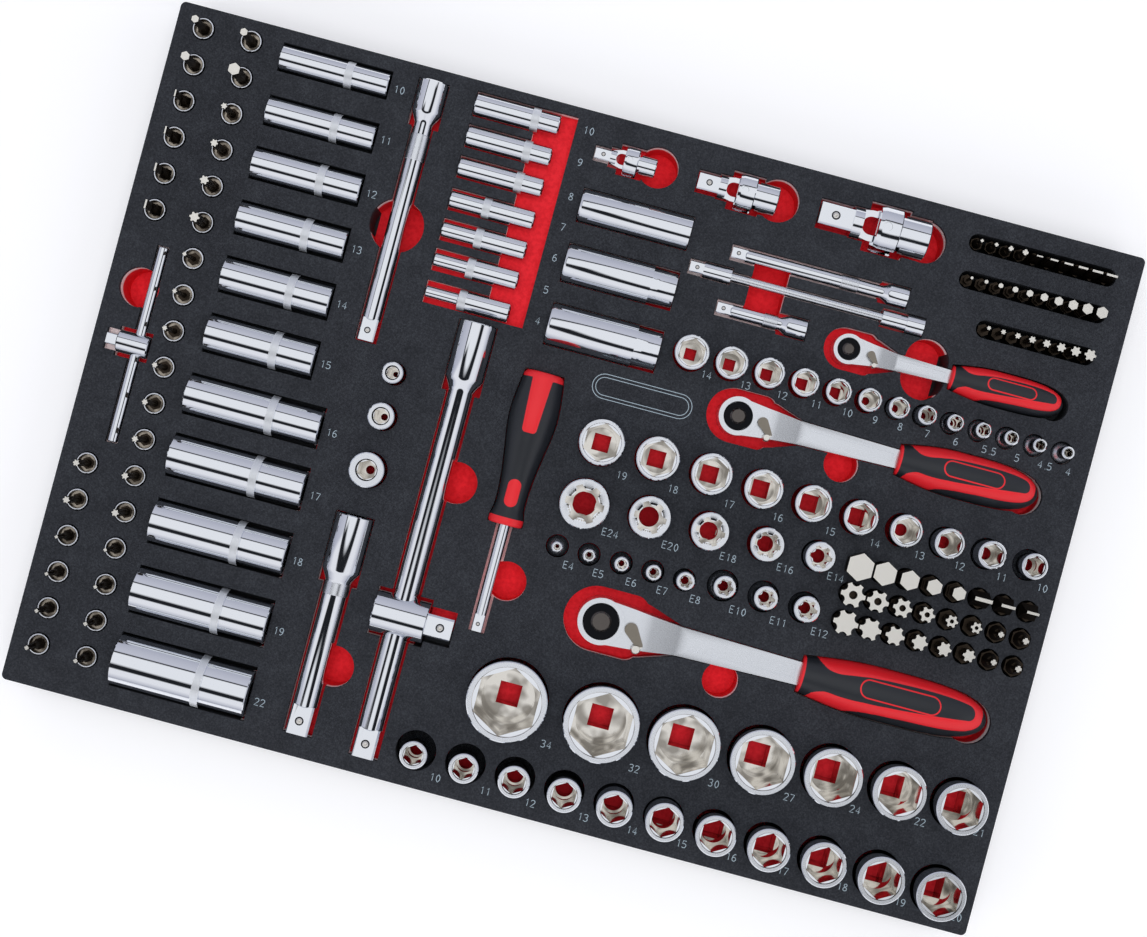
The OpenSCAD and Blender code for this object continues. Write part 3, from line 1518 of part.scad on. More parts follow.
module spinner_pocket() {
    shaft_w = 1.3 * quarter_sq + 2 * side_gap;
    lowered(lie_depth(28)) polygon(concat(
        [
            for (p = spinner_profile) [
                spinner_start[0] + p[1] / 2 + side_gap,
                spinner_start[1] + p[0] * (spinner_len + side_gap)
            ]
        ],
        [
            for (k = [len(spinner_profile) - 1 : -1 : 0]) [
                spinner_start[0] - spinner_profile[k][1] / 2 - side_gap,
                spinner_start[1] + spinner_profile[k][0] * (spinner_len + side_gap)
            ]
        ]
    ));
    trough(
        spinner_start[0], spinner_start[1] - spinner_shaft_len / 2, shaft_w,
        spinner_shaft_len + 2 * side_gap, lie_depth(shaft_w)
    );
}

// Pear round a ratchet's head, a slot for its shank and a hollow for its grip
module ratchet_pocket(i) {
    r = 1.42 * ratchet_head_r[i];
    shoulder_r = 0.43 * r;
    head_depth = ratchet_drop + ratchet_head_h[i] / 2 + floor_gap;
    grip_depth = ratchet_drop + ratchet_grip_d[i][1] / 2 + floor_gap;
    tail_room = 3;
    tail_r = 0.42 * ratchet_grip_d[i][1];
    tail_shift = 0.06 * ratchet_grip_d[i][1];
    side = grip_side(i, side_gap, tail_room);
    x = ratchet_at[i][0];
    y = ratchet_at[i][1];
    lowered(head_depth) translate([x, y]) {
        hull() {
            translate([-0.13 * r, 0]) circle(r = r, $fn = round_fn);
            for (up = [-1, 1])
                translate([0.9 * r, up * (r - shoulder_r)]) circle(r = shoulder_r, $fn = plan_fn);
        }
        polygon([
            [r, -0.9 * r], [1.4 * r, -0.8 * r], [2.45 * r, -0.65 * ratchet_shank_w[i]],
            [2.45 * r, 0.65 * ratchet_shank_w[i]], [1.4 * r, 0.8 * r], [r, 0.9 * r]
        ]);
    }
    lowered(ratchet_drop + shank_h(i) / 2 + floor_gap) translate([x, y]) shank_plan(i, side_gap);
    lowered(grip_depth) translate([x + grip_start(i) - side_gap, y]) {
        polygon(concat(
            side,
            [[grip_len(i) + tail_room, 0]],
            [for (k = [grip_steps - 1 : -1 : 0]) [side[k][0], -side[k][1]]]
        ));
        translate([grip_len(i) + tail_room - tail_r, -tail_shift])
            circle(r = tail_r, $fn = round_fn);
    }
    well(x, y, 1.3 * squares[i] + 3, head_depth + 1.2 * squares[i]);
}

module scoop_pockets() {
    for (s = scoops) well(s[0], s[1], 2 * s[2], scoop_depth);
    trough(
        (cross_scoop[0][0] + cross_scoop[0][1]) / 2, (cross_scoop[1][0] + cross_scoop[1][1]) / 2,
        cross_scoop[0][1] - cross_scoop[0][0], cross_scoop[1][1] - cross_scoop[1][0], scoop_depth
    );
}

module pockets() {
    standing_pockets();
    bit_pockets();
    lying_socket_pockets();
    extension_pockets();
    joint_pockets();
    tee_pockets();
    spinner_pocket();
    for (i = [0 : 2]) ratchet_pocket(i);
    scoop_pockets();
}

module tray_layer(z0, z1) {
    difference() {
        translate([0, 0, z0]) linear_extrude(z1 - z0) offset(r = tray_corner_r, $fn = plan_fn)
            square([tray_l - 2 * tray_corner_r, tray_w - 2 * tray_corner_r], center = true);
        pockets();
    }
}

module foam_base() {
    color("crimson") tray_layer(0, tray_h - top_t);
}

module foam_top() {
    color("darkslategray") tray_layer(tray_h - top_t, tray_h);
}

foam_base();
foam_top();
bit_socket_sleeves();
bit_socket_blades();
half_sockets();
three_eighths_sockets();
quarter_sockets();
star_sockets();
deep_half_sockets();
deep_three_eighths_sockets();
deep_quarter_sockets();
plug_sockets();
plug_rubbers();
bit_adapters();
small_bits();
large_bits();
half_extension_long();
half_extension_short();
three_eighths_extension();
quarter_extension_long();
quarter_extension_short();
flex_ends();
flex_core();
joint_yoke_0();
joint_cross_0();
joint_socket_0();
joint_yoke_1();
joint_cross_1();
joint_socket_1();
joint_yoke_2();
joint_cross_2();
joint_socket_2();
tbar_rod();
tbar_head();
slider_head();
spinner_handle();
spinner_inlays();
spinner_shaft();
ratchet_body_0();
ratchet_grip_0();
ratchet_inlay_0();
ratchet_gear_0();
ratchet_button_0();
ratchet_lever_0();
ratchet_pawl_0();
ratchet_body_1();
ratchet_grip_1();
ratchet_inlay_1();
ratchet_gear_1();
ratchet_button_1();
ratchet_lever_1();
ratchet_pawl_1();
ratchet_body_2();
ratchet_grip_2();
ratchet_inlay_2();
ratchet_gear_2();
ratchet_button_2();
ratchet_lever_2();
ratchet_pawl_2();
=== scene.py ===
import json
import math
import bmesh
import bpy
from mathutils import Matrix, Vector

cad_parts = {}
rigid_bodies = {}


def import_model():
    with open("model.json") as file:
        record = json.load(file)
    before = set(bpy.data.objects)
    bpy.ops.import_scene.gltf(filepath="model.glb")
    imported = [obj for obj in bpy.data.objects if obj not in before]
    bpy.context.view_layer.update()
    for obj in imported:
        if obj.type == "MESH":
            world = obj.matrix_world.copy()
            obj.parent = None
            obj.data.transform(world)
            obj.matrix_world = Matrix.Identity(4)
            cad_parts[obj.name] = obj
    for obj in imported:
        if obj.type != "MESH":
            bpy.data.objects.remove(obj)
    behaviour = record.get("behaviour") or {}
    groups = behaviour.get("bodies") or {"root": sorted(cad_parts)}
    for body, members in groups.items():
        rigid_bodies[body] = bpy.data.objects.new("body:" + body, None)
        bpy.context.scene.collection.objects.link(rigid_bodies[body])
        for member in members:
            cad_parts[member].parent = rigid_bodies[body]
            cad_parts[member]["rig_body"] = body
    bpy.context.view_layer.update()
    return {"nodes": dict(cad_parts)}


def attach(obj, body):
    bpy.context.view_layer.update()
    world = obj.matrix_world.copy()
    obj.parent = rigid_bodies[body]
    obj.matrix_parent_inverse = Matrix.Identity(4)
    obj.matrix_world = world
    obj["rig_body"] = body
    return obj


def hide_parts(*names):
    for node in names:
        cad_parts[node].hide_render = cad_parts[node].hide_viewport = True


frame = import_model()
cadNodes = frame["nodes"]
mm = 0.001


def linearColour(hexText):
    # sRGB hex to the linear colour that shaders want
    values = [int(hexText[i:i + 2], 16) / 255 for i in (1, 3, 5)]
    return [v / 12.92 if v <= 0.04045 else ((v + 0.055) / 1.055) ** 2.4 for v in values] + [1]


def addNode(tree, kind, settings=None, inputs=None, stops=()):
    # one node: its settings, its inputs as values or links, and a ramp's stops
    node = tree.nodes.new(kind)
    for key, value in (settings or {}).items():
        setattr(node, key, value)
    for key, value in (inputs or {}).items():
        if isinstance(value, bpy.types.NodeSocket):
            tree.links.new(value, node.inputs[key])
        else:
            node.inputs[key].default_value = value
    for k, (position, colour) in enumerate(stops):
        elements = node.color_ramp.elements
        element = elements[k] if k < len(elements) else elements.new(position)
        element.position, element.color = position, linearColour(colour)
    return node


def newMaterial(name, shader):
    # a Principled material, with Object coordinates in millimetres to hang patterns on
    material = bpy.data.materials.new(name)
    material.use_nodes = True
    tree = material.node_tree
    principled = tree.nodes["Principled BSDF"]
    for key, value in shader.items():
        principled.inputs[key].default_value = value
    coords = addNode(tree, "ShaderNodeTexCoord")
    place = addNode(tree, "ShaderNodeVectorMath", {"operation": "SCALE"},
                    {0: coords.outputs["Object"], "Scale": 1000.0})
    return material, tree, principled, place.outputs[0]


metalFinishes = {
    # name: base colour, roughness low and high, grain size in mm, bump in mm
    "polishedChrome": ("#e6e9ee", 0.03, 0.09, 9.0, 0.0),
    "satinChrome": ("#e2e5ea", 0.22, 0.34, 0.35, 0.004),
    "nickelWall": ("#dedad2", 0.06, 0.17, 0.8, 0.003),
    "rolledCollar": ("#f3f6f9", 0.42, 0.55, 0.35, 0.004),
    "groundSteel": ("#f1eee6", 0.30, 0.42, 0.3, 0.003),
    "burnishedSteel": ("#3d352d", 0.34, 0.52, 0.6, 0.006),
    "cupSteel": ("#a39a8d", 0.18, 0.32, 0.5, 0.004),
    "gunmetal": ("#5c5754", 0.14, 0.26, 1.0, 0.002),
    "blackOxide": ("#1b1c1f", 0.28, 0.42, 0.5, 0.004),
    "leverSteel": ("#8d867b", 0.28, 0.42, 0.5, 0.005),
}
# plating pools in soft clouds on these walls: darker colour, and a cloud's width in mm
cloudValues = {"nickelWall": ("#98938b", 9.0), "cupSteel": ("#6d655b", 4.0)}


def makeMetal(name):
    # plated or ground steel: mirror chrome is smooth, the rest keeps the grain of its grit
    colour, low, high, grain, depth = metalFinishes[name]
    material, tree, principled, place = newMaterial(name, {
        "Base Color": linearColour(colour), "Metallic": 1.0, "Roughness": (low + high) / 2})
    noise = addNode(tree, "ShaderNodeTexNoise", None,
                    {"Vector": place, "Scale": 1 / grain, "Detail": 3.0, "Roughness": 0.6})
    spread = addNode(tree, "ShaderNodeMapRange", None,
                     {"Value": noise.outputs["Fac"], "From Min": 0.3, "From Max": 0.7,
                      "To Min": low, "To Max": high})
    tree.links.new(spread.outputs[0], principled.inputs["Roughness"])
    if name in cloudValues:
        darker, width = cloudValues[name]
        cloud = addNode(tree, "ShaderNodeTexNoise", None,
                        {"Vector": place, "Scale": 1 / width, "Detail": 1.0})
        tone = addNode(tree, "ShaderNodeValToRGB", None, {"Fac": cloud.outputs["Fac"]},
                       [(0.40, darker), (0.60, colour)])
        tree.links.new(tone.outputs[0], principled.inputs["Base Color"])
    if depth:
        bump = addNode(tree, "ShaderNodeBump", None,
                       {"Height": noise.outputs["Fac"], "Distance": depth * mm, "Strength": 0.6})
        tree.links.new(bump.outputs[0], principled.inputs["Normal"])
    return material


metals = {name: makeMetal(name) for name in metalFinishes}
print("metals made:", len(metals))

foamValues = {
    "dark": "#2e3035", "darkFleck": "#3b3e43", "darkPit": "#222428",
    # the last colour on the next line is the dark of the outer sides, also used as painted shade in slots
    # and wells
    "red": "#f22d38", "redDeep": "#e3232e", "band": "#fbeeee", "sideAndPaintedShade": "#26282b",
    "cellMm": 0.55, "rimHighlightMm": 4.2, "splitZ": 37.0, "halfLong": 281.5, "halfWide": 197.5,
}


def makeDarkFoam():
    # skived polyethylene foam: matt, with closed cells that glint a little
    material, tree, principled, place = newMaterial("darkFoam", {
        "Roughness": 0.88, "Specular IOR Level": 0.25})
    cells = addNode(tree, "ShaderNodeTexVoronoi", {"feature": "F1"},
                    {"Vector": place, "Scale": 1 / foamValues["cellMm"]})
    cloud = addNode(tree, "ShaderNodeTexNoise", None,
                    {"Vector": place, "Scale": 1 / 14, "Detail": 4.0, "Roughness": 0.55})
    grain = addNode(tree, "ShaderNodeTexNoise", None,
                    {"Vector": place, "Scale": 1 / 0.9, "Detail": 2.0, "Roughness": 0.7})
    fine = addNode(tree, "ShaderNodeMath", {"operation": "MULTIPLY"}, {0: grain.outputs["Fac"], 1: 0.75})
    both = addNode(tree, "ShaderNodeMath", {"operation": "MULTIPLY_ADD"},
                   {0: cloud.outputs["Fac"], 1: 0.25, 2: fine.outputs[0]})
    colour = addNode(tree, "ShaderNodeValToRGB", None, {"Fac": both.outputs[0]},
                     [(0.36, foamValues["darkPit"]), (0.52, foamValues["dark"]),
                      (0.66, foamValues["darkFleck"])])
    tree.links.new(colour.outputs[0], principled.inputs["Base Color"])
    bump = addNode(tree, "ShaderNodeBump", None,
                   {"Height": cells.outputs["Distance"], "Distance": 0.12 * mm, "Strength": 0.5})
    tree.links.new(bump.outputs[0], principled.inputs["Normal"])
    return material


# slots and wells whose red walls are painted dark as shade, as low and high corners in mm; where an upright
# socket stands, the low corner is above the pocket's floor, which stays red
paintedShadePockets = [((180, 176, 1), (276, 189, 40)), ((180, 154, 1), (284, 168, 40)),
               ((196, 129, 1), (282, 143, 40)), ((162, -52, 1), (278, -4, 40)),
               ((188, 92, 1), (266, 119, 40)), ((-228, -192, 1), (-146, 195, 40)),
               ((-274, 70, 1), (-260, 195, 40)), ((-274, -185, 1), (-260, -60, 40)),
               ((-246, -185, 1), (-231, 195, 40)), ((-62, -195, 16.5), (279, -108, 40)),
               ((-5, -52, 26.5), (279, 30, 40)), ((45, 78, 26.5), (279, 92, 40))]


def makeRedFoam():
    # red layer under the skin: just under the skin its cut edge is painted pale as a highlight, then red
    material, tree, principled, place = newMaterial("redFoam", {
        "Roughness": 0.8, "Specular IOR Level": 0.3})
    split = addNode(tree, "ShaderNodeSeparateXYZ", None, {0: place})
    grain = addNode(tree, "ShaderNodeTexNoise", None,
                    {"Vector": place, "Scale": 1 / 2.5, "Detail": 3.0, "Roughness": 0.6})
    red = addNode(tree, "ShaderNodeValToRGB", None, {"Fac": grain.outputs["Fac"]},
                  [(0.35, foamValues["redDeep"]), (0.6, foamValues["red"])])
    # painted highlight: the top few mm of the red walls, just under the skin, turn pale
    rimHighlightStart = foamValues["splitZ"] - foamValues["rimHighlightMm"]
    up = addNode(tree, "ShaderNodeMapRange", {"interpolation_type": "SMOOTHSTEP"},
                 {"Value": split.outputs[2], "From Min": rimHighlightStart - 1.0, "From Max": rimHighlightStart + 1.0})
    withRimHighlight = addNode(tree, "ShaderNodeMix", {"data_type": "RGBA"},
                     {0: up.outputs[0], 6: red.outputs[0], 7: linearColour(foamValues["band"])})
    # the outer sides are dark, and the walls of the slots listed above are painted dark as shade
    dark = None
    for axis, edge in ((0, foamValues["halfLong"]), (1, foamValues["halfWide"])):
        away = addNode(tree, "ShaderNodeMath", {"operation": "ABSOLUTE"}, {0: split.outputs[axis]})
        side = addNode(tree, "ShaderNodeMath", {"operation": "GREATER_THAN"},
                       {0: away.outputs[0], 1: edge})
        dark = side if dark is None else addNode(
            tree, "ShaderNodeMath", {"operation": "MAXIMUM"}, {0: dark.outputs[0], 1: side.outputs[0]})
    # painted shade: red walls inside each listed box take the dark colour
    for low, high in paintedShadePockets:
        inside = None
        for axis in range(3):
            for operation, edge in (("GREATER_THAN", low[axis]), ("LESS_THAN", high[axis])):
                side = addNode(tree, "ShaderNodeMath", {"operation": operation},
                               {0: split.outputs[axis], 1: edge})
                inside = side if inside is None else addNode(
                    tree, "ShaderNodeMath", {"operation": "MULTIPLY"},
                    {0: inside.outputs[0], 1: side.outputs[0]})
        dark = addNode(tree, "ShaderNodeMath", {"operation": "MAXIMUM"},
                       {0: dark.outputs[0], 1: inside.outputs[0]})
    colour = addNode(tree, "ShaderNodeMix", {"data_type": "RGBA"},
                     {0: dark.outputs[0], 6: withRimHighlight.outputs[2], 7: linearColour(foamValues["sideAndPaintedShade"])})
    tree.links.new(colour.outputs[2], principled.inputs["Base Color"])
    bump = addNode(tree, "ShaderNodeBump", None,
                   {"Height": grain.outputs["Fac"], "Distance": 0.15 * mm, "Strength": 0.4})
    tree.links.new(bump.outputs[0], principled.inputs["Normal"])
    return material


foamDark = makeDarkFoam()
foamRed = makeRedFoam()


def makePlastic(name, colour, roughness, grain=0.4, depth=0.01):
    # moulded soft rubber or ABS: even colour, fine spark-eroded grain
    material, tree, principled, place = newMaterial(name, {
        "Base Color": linearColour(colour), "Roughness": roughness, "IOR": 1.5})
    noise = addNode(tree, "ShaderNodeTexNoise", None,
                    {"Vector": place, "Scale": 1 / grain, "Detail": 2.0})
    spread = addNode(tree, "ShaderNodeMapRange", None,
                     {"Value": noise.outputs["Fac"], "To Min": roughness - 0.08,
                      "To Max": roughness + 0.08})
    tree.links.new(spread.outputs[0], principled.inputs["Roughness"])
    bump = addNode(tree, "ShaderNodeBump", None,
                   {"Height": noise.outputs["Fac"], "Distance": depth * mm, "Strength": 0.5})
    tree.links.new(bump.outputs[0], principled.inputs["Normal"])
    return material


sleeveRubber = makePlastic("sleeveRubber", "#1a1a1a", 0.6)
markPaint = makePlastic("markPaint", "#a3b3bd", 0.7)


def bmFromNode(nodeName):
    bm = bmesh.new()
    bm.from_mesh(cadNodes[nodeName].data)
    bmesh.ops.remove_doubles(bm, verts=bm.verts, dist=0.002 * mm)
    return bm


def islandsOf(bm):
    # lists of faces that hang together
    seen, islands = set(), []
    for first in bm.faces:
        if first in seen:
            continue
        stack, faces = [first], []
        seen.add(first)
        while stack:
            face = stack.pop()
            faces.append(face)
            for edge in face.edges:
                for other in edge.link_faces:
                    if other not in seen:
                        seen.add(other)
                        stack.append(other)
        islands.append(faces)
    return islands


def finishPiece(bm, name, materials, body, replaced=(), smoothDegrees=32):
    mesh = bpy.data.meshes.new(name)
    bm.to_mesh(mesh)
    bm.free()
    if "custom_normal" in mesh.attributes:
        mesh.attributes.remove(mesh.attributes["custom_normal"])
    for polygon in mesh.polygons:
        polygon.use_smooth = True
    mesh.set_sharp_from_angle(angle=math.radians(smoothDegrees))
    for material in materials:
        mesh.materials.append(material)
    piece = bpy.data.objects.new(name, mesh)
    bpy.context.scene.collection.objects.link(piece)
    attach(piece, body)
    if replaced:
        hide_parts(*replaced)
    return piece


def boxOf(faces):
    points = [v.co for f in faces for v in f.verts]
    low = Vector([min(p[i] for p in points) for i in range(3)])
    high = Vector([max(p[i] for p in points) for i in range(3)])
    return low, high


def innerWalls(faces, deep=1.6 * mm):
    # inside of an upright tool gets its second finish, its flat end and shoulders the third
    low, high = boxOf(faces)
    centre = (low + high) / 2
    mouth = max((v.co - centre).xy.length for f in faces for v in f.verts if v.co.z > high.z - 0.3 * mm)
    for face in faces:
        middle, normal = face.calc_center_median(), face.normal
        away = Vector((middle.x - centre.x, middle.y - centre.y, 0))
        if middle.z > high.z - 0.25 * mm:
            if normal.z > 0.95:
                face.material_index = 2
            continue
        facesIn = away.length > 1e-6 and normal.dot(away.normalized()) < -0.15
        below = normal.z > 0.3 and middle.z < high.z - deep
        if facesIn or (below and away.length < 0.97 * mouth):
            face.material_index = 1
        elif below:
            face.material_index = 2


def tipFaces(faces, depth=0.6 * mm):
    # ground end of a bit
    low, high = boxOf(faces)
    for face in faces:
        if face.normal.z > 0.5 and face.calc_center_median().z > high.z - depth:
            face.material_index = 1


# tips of the bit sockets are a little slimmer than their shanks, and blades stand along the tray
tipValues = {"share": 0.76, "bladeTurn": 90.0, "start": 43.2}


def slimTips(faces):
    low, high = boxOf(faces)
    centre = (low + high) / 2
    verts = {v for f in faces for v in f.verts if v.co.z > tipValues["start"] * mm}
    top = [v.co for v in verts if v.co.z > high.z - 0.1 * mm]
    wide = max(c.x for c in top) - min(c.x for c in top)
    tall = max(c.y for c in top) - min(c.y for c in top)
    turn = Matrix.Rotation(math.radians(tipValues["bladeTurn"] if wide > 2.2 * tall else 0), 3, "Z")
    for vert in verts:
        away = Vector((vert.co.x - centre.x, vert.co.y - centre.y, 0)) * tipValues["share"]
        vert.co.xy = (centre + turn @ away).xy
    tipFaces(faces)


def thumbTip(faces):
    # bare end of a reversing lever
    low, high = boxOf(faces)
    for face in faces:
        if face.calc_center_median().y < low.y + 0.3 * (high.y - low.y):
            face.material_index = 1


def collarRing(faces):
    # raised ring round a lying deep socket
    low, high = boxOf(faces)
    centre, outer = (low + high) / 2, (high.z - low.z) / 2
    for face in faces:
        middle = face.calc_center_median()
        away = Vector((0, middle.y - centre.y, middle.z - centre.z))
        if away.length > 0.985 * outer and face.normal.dot(away) > 0.8 * away.length:
            face.material_index = 1


def dress(nodeName, pieceName, materials, rule=None, smoothDegrees=32):
    bm = bmFromNode(nodeName)
    if rule:
        for faces in islandsOf(bm):
            rule(faces)
    return finishPiece(bm, pieceName, materials, cadNodes[nodeName]["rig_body"],
                       [nodeName], smoothDegrees)


chrome, satin, nickel = metals["polishedChrome"], metals["satinChrome"], metals["nickelWall"]
burnished, ground = metals["burnishedSteel"], metals["groundSteel"]

for nodeName in ("half_sockets", "three_eighths_sockets", "quarter_sockets", "star_sockets",
                 "bit_adapters"):
    dress(nodeName, "dressed_" + nodeName, [chrome, nickel, satin], innerWalls)
dress("bit_socket_sleeves", "dressed_bit_socket_sleeves",
      [chrome, metals["cupSteel"], satin], innerWalls)
for nodeName in ("small_bits", "large_bits"):
    dress(nodeName, "dressed_" + nodeName, [burnished, ground], tipFaces)
dress("bit_socket_blades", "dressed_bit_socket_blades", [burnished, ground], slimTips)
for nodeName in ("plug_sockets", "half_extension_long", "half_extension_short",
                 "three_eighths_extension", "quarter_extension_long", "quarter_extension_short",
                 "flex_ends", "tbar_rod", "tbar_head", "slider_head", "spinner_shaft"):
    dress(nodeName, "dressed_" + nodeName, [chrome])
for nodeName in ("deep_half_sockets", "deep_three_eighths_sockets", "deep_quarter_sockets"):
    dress(nodeName, "dressed_" + nodeName, [chrome, metals["rolledCollar"]], collarRing)
dress("flex_core", "dressed_flex_core", [satin])
for i in range(3):
    for part in ("joint_yoke", "joint_cross", "joint_socket"):
        dress(f"{part}_{i}", f"dressed_{part}_{i}", [chrome])
    dress(f"ratchet_body_{i}", f"dressed_ratchet_body_{i}", [satin])
    dress(f"ratchet_gear_{i}", f"dressed_ratchet_gear_{i}", [metals["blackOxide"]])
    dress(f"ratchet_button_{i}", f"dressed_ratchet_button_{i}", [metals["gunmetal"]])
    dress(f"ratchet_lever_{i}", f"dressed_ratchet_lever_{i}",
          [metals["leverSteel"], ground], thumbTip)
    dress(f"ratchet_pawl_{i}", f"dressed_ratchet_pawl_{i}", [metals["blackOxide"]])
dress("plug_rubbers", "dressed_plug_rubbers", [sleeveRubber])

# lip of a sleeve in mm, and its segments
rimValues = {"thick": 1.1, "inset": 0.5, "drop": 0.45, "around": 32, "section": 8, "smoothDegrees": 60}


def makeSleeveRims():
    # polished lip of each bit socket's sleeve
    v = rimValues
    sleeves = bmFromNode("bit_socket_sleeves")
    boxes = [boxOf(faces) for faces in islandsOf(sleeves)]
    sleeves.free()
    low, high = boxes[0]
    radius = (high.x - low.x) / 2 - v["inset"] * mm
    bm = bmesh.new()
    ring = bmesh.ops.create_circle(
        bm, segments=v["section"], radius=v["thick"] / 2 * mm,
        matrix=Matrix.Translation((radius, 0, 0)) @ Matrix.Rotation(math.pi / 2, 4, "X"))["verts"]
    edges = list(dict.fromkeys(e for vert in ring for e in vert.link_edges))
    bmesh.ops.spin(bm, geom=ring + edges, cent=(0, 0, 0), axis=(0, 0, 1), angle=math.tau,
                   steps=v["around"], use_merge=True)
    bmesh.ops.remove_doubles(bm, verts=bm.verts, dist=0.001 * mm)
    bmesh.ops.recalc_face_normals(bm, faces=bm.faces)
    first = bm.verts[:] + bm.edges[:] + bm.faces[:]
    for low, high in boxes[1:] + boxes[:1]:
        geom = first if low is boxes[0][0] else bmesh.ops.duplicate(bm, geom=first)["geom"]
        place = ((low.x + high.x) / 2, (low.y + high.y) / 2, high.z - v["drop"] * mm)
        bmesh.ops.translate(bm, vec=place, verts=[g for g in geom if isinstance(g, bmesh.types.BMVert)])
    finishPiece(bm, "sleeveRims", [chrome], cadNodes["bit_socket_sleeves"]["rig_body"],
                (), v["smoothDegrees"])


makeSleeveRims()
print("steel dressed")

for nodeName, material in (("foam_top", foamDark), ("foam_base", foamRed)):
    mesh = cadNodes[nodeName].data
    mesh.materials.clear()
    mesh.materials.append(material)


# all in mm, and a decimal point's step as a part of a digit's
markValues = {"height": 4.0, "width": 2.3, "pitch": 3.4, "pointShare": 0.6, "line": 0.42,
              "proud": 0.05, "foamTop": 40.0}

# strokes of each sign on a 6 by 10 grid
strokes = {
    "0": [[(1, 3), (1, 7), (3, 10), (4, 10), (6, 7), (6, 3), (4, 0), (3, 0), (1, 3)]],
    "1": [[(2, 8), (4, 10), (4, 0)]],
    "2": [[(0, 8), (1, 9.5), (3, 10), (5, 9.5), (6, 7.5), (5, 5.5), (0, 0), (6, 0)]],
    "3": [[(0, 9), (2, 10), (4, 10), (5.7, 8.5), (5, 6), (2.5, 5.3), (5, 4.6), (6, 2.5), (4.5, 0.3),
           (2, 0), (0, 1)]],
    "4": [[(4.5, 0), (4.5, 10), (0, 3), (6.3, 3)]],
    "5": [[(5.6, 10), (0.8, 10), (0.4, 5.6), (3.2, 6.2), (5.6, 5), (6, 2.6), (4.5, 0.4), (2, 0), (0, 1)]],
    "6": [[(5.2, 9.6), (3, 9.6), (1, 7), (0.3, 3), (1.5, 0.4), (4, 0), (6, 1.8), (5.6, 4.4), (3.6, 5.8),
           (1.2, 5), (0.3, 3)]],
    "7": [[(0, 10), (6, 10), (2.2, 0)]],
    "8": [[(3, 5.4), (0.9, 6.8), (1, 9), (3, 10), (5, 9), (5.1, 6.8), (3, 5.4), (0.4, 3.6), (0.5, 1),
           (3, 0), (5.5, 1), (5.6, 3.6), (3, 5.4)]],
    "9": [[(5.7, 7), (4.8, 5), (2.4, 4.2), (0.4, 5.6), (0, 8.2), (2, 10), (4.5, 9.6), (5.7, 7), (5, 3),
           (3, 0.4), (0.8, 0.4)]],
    "E": [[(6, 10), (0.5, 10), (0.5, 0), (6, 0)], [(0.5, 5.2), (5, 5.2)]],
    ".": [[(2.6, 0), (3.4, 0.2)]],
}

rows = [
    # signs, then their places in the tray's plan in mm
    ("10 11 12 13 14 15", [(-150.8, y) for y in (181.5, 151.9, 120.5, 87.9, 55.6, 20.5)]),
    ("16 17 18 19 22", [(-137.4, y) for y in (-16, -53, -91.2, -132.1, -173.9)]),
    ("10 9 8 7 6 5 4", [(-41.2, y) for y in (186.9, 168.3, 148.3, 130.4, 112.5, 93.7, 75.6)]),
    ("14 13 12 11 10 9 8 7 6 5.5 5 4.5 4",
     [(x, 70.7) for x in (58.8, 81.6, 103.1, 123.1, 141.3, 157.8, 172.5, 188.1, 205, 224.5, 240.9,
                          257.2, 270.9)]),
    ("19 18 17 16 15 14 13 12 11 10",
     [(x, 3.3) for x in (27.3, 57.3, 90.1, 118.7, 149.3, 175.5, 201.6, 225.1, 249.7, 273.7)]),
    ("E24 E20 E18 E16 E14", [(29.4, -30), (64.1, -28.3), (97.5, -26), (130.3, -23.7), (159.2, -21.2)]),
    ("E4 E5 E6 E7 E8 E10 E11 E12",
     [(x, -53.8) for x in (11.3, 28.8, 48.1, 66.2, 85.6, 110.5, 134.2, 158.4)]),
    ("34 32 30 27 24 22 21", [(25.4, -154.9), (77, -155.2), (122.7, -151.7), (166, -148.3),
                              (203.9, -145.2), (241.2, -142.5), (275, -139.6)]),
    ("10 11 12 13 14 15 16 17 18 19 20",
     [(x, -189.3) for x in (-30.5, -1.2, 25.1, 56.2, 84.9, 113.9, 143.1, 173.4, 208.2, 242.1, 274.9)]),
]


def lineMesh(paths, thick, closed=False):
    # flat curves with a thin round section, turned into one mesh
    curve = bpy.data.curves.new("lines", "CURVE")
    curve.dimensions = "3D"
    curve.bevel_depth, curve.bevel_resolution = thick / 2 * mm, 1
    for points in paths:
        spline = curve.splines.new("POLY")
        spline.points.add(len(points) - 1)
        for point, (x, y, z) in zip(spline.points, points):
            point.co = (x * mm, y * mm, z * mm, 1)
        spline.use_cyclic_u = closed
    holder = bpy.data.objects.new("lines", curve)
    bpy.context.scene.collection.objects.link(holder)
    bpy.context.view_layer.update()
    bm = bmesh.new()
    bm.from_mesh(holder.to_mesh())
    holder.to_mesh_clear()
    bpy.data.objects.remove(holder)
    return bm


def flatten(bm, middle, keep):
    bmesh.ops.scale(bm, vec=(1, 1, keep), verts=bm.verts, space=Matrix.Translation((0, 0, -middle * mm)))


def makeSizeMarks():
    paths = []
    top = markValues["foamTop"]
    for signs, places in rows:
        for word, (x, y) in zip(signs.split(), places):
            advance = [markValues["pitch"] * (markValues["pointShare"] if c == "." else 1) for c in word]
            left = x - (sum(advance) - advance[-1] + markValues["width"]) / 2
            for c, step in zip(word, advance):
                for stroke in strokes[c]:
                    paths.append([(left + px / 6 * markValues["width"],
                                   y + (py / 10 - 0.5) * markValues["height"], top)
                                  for px, py in stroke])
                left += step
    bm = lineMesh(paths, markValues["line"])
    flatten(bm, top, markValues["proud"] / markValues["line"] * 2)
    finishPiece(bm, "sizeMarks", [markPaint], "tray")


plateValues = {"x": 27.0, "y": 49.5, "long": 58.0, "wide": 14.0, "inset": 1.9, "line": 0.4,
               "flatShare": 0.25}


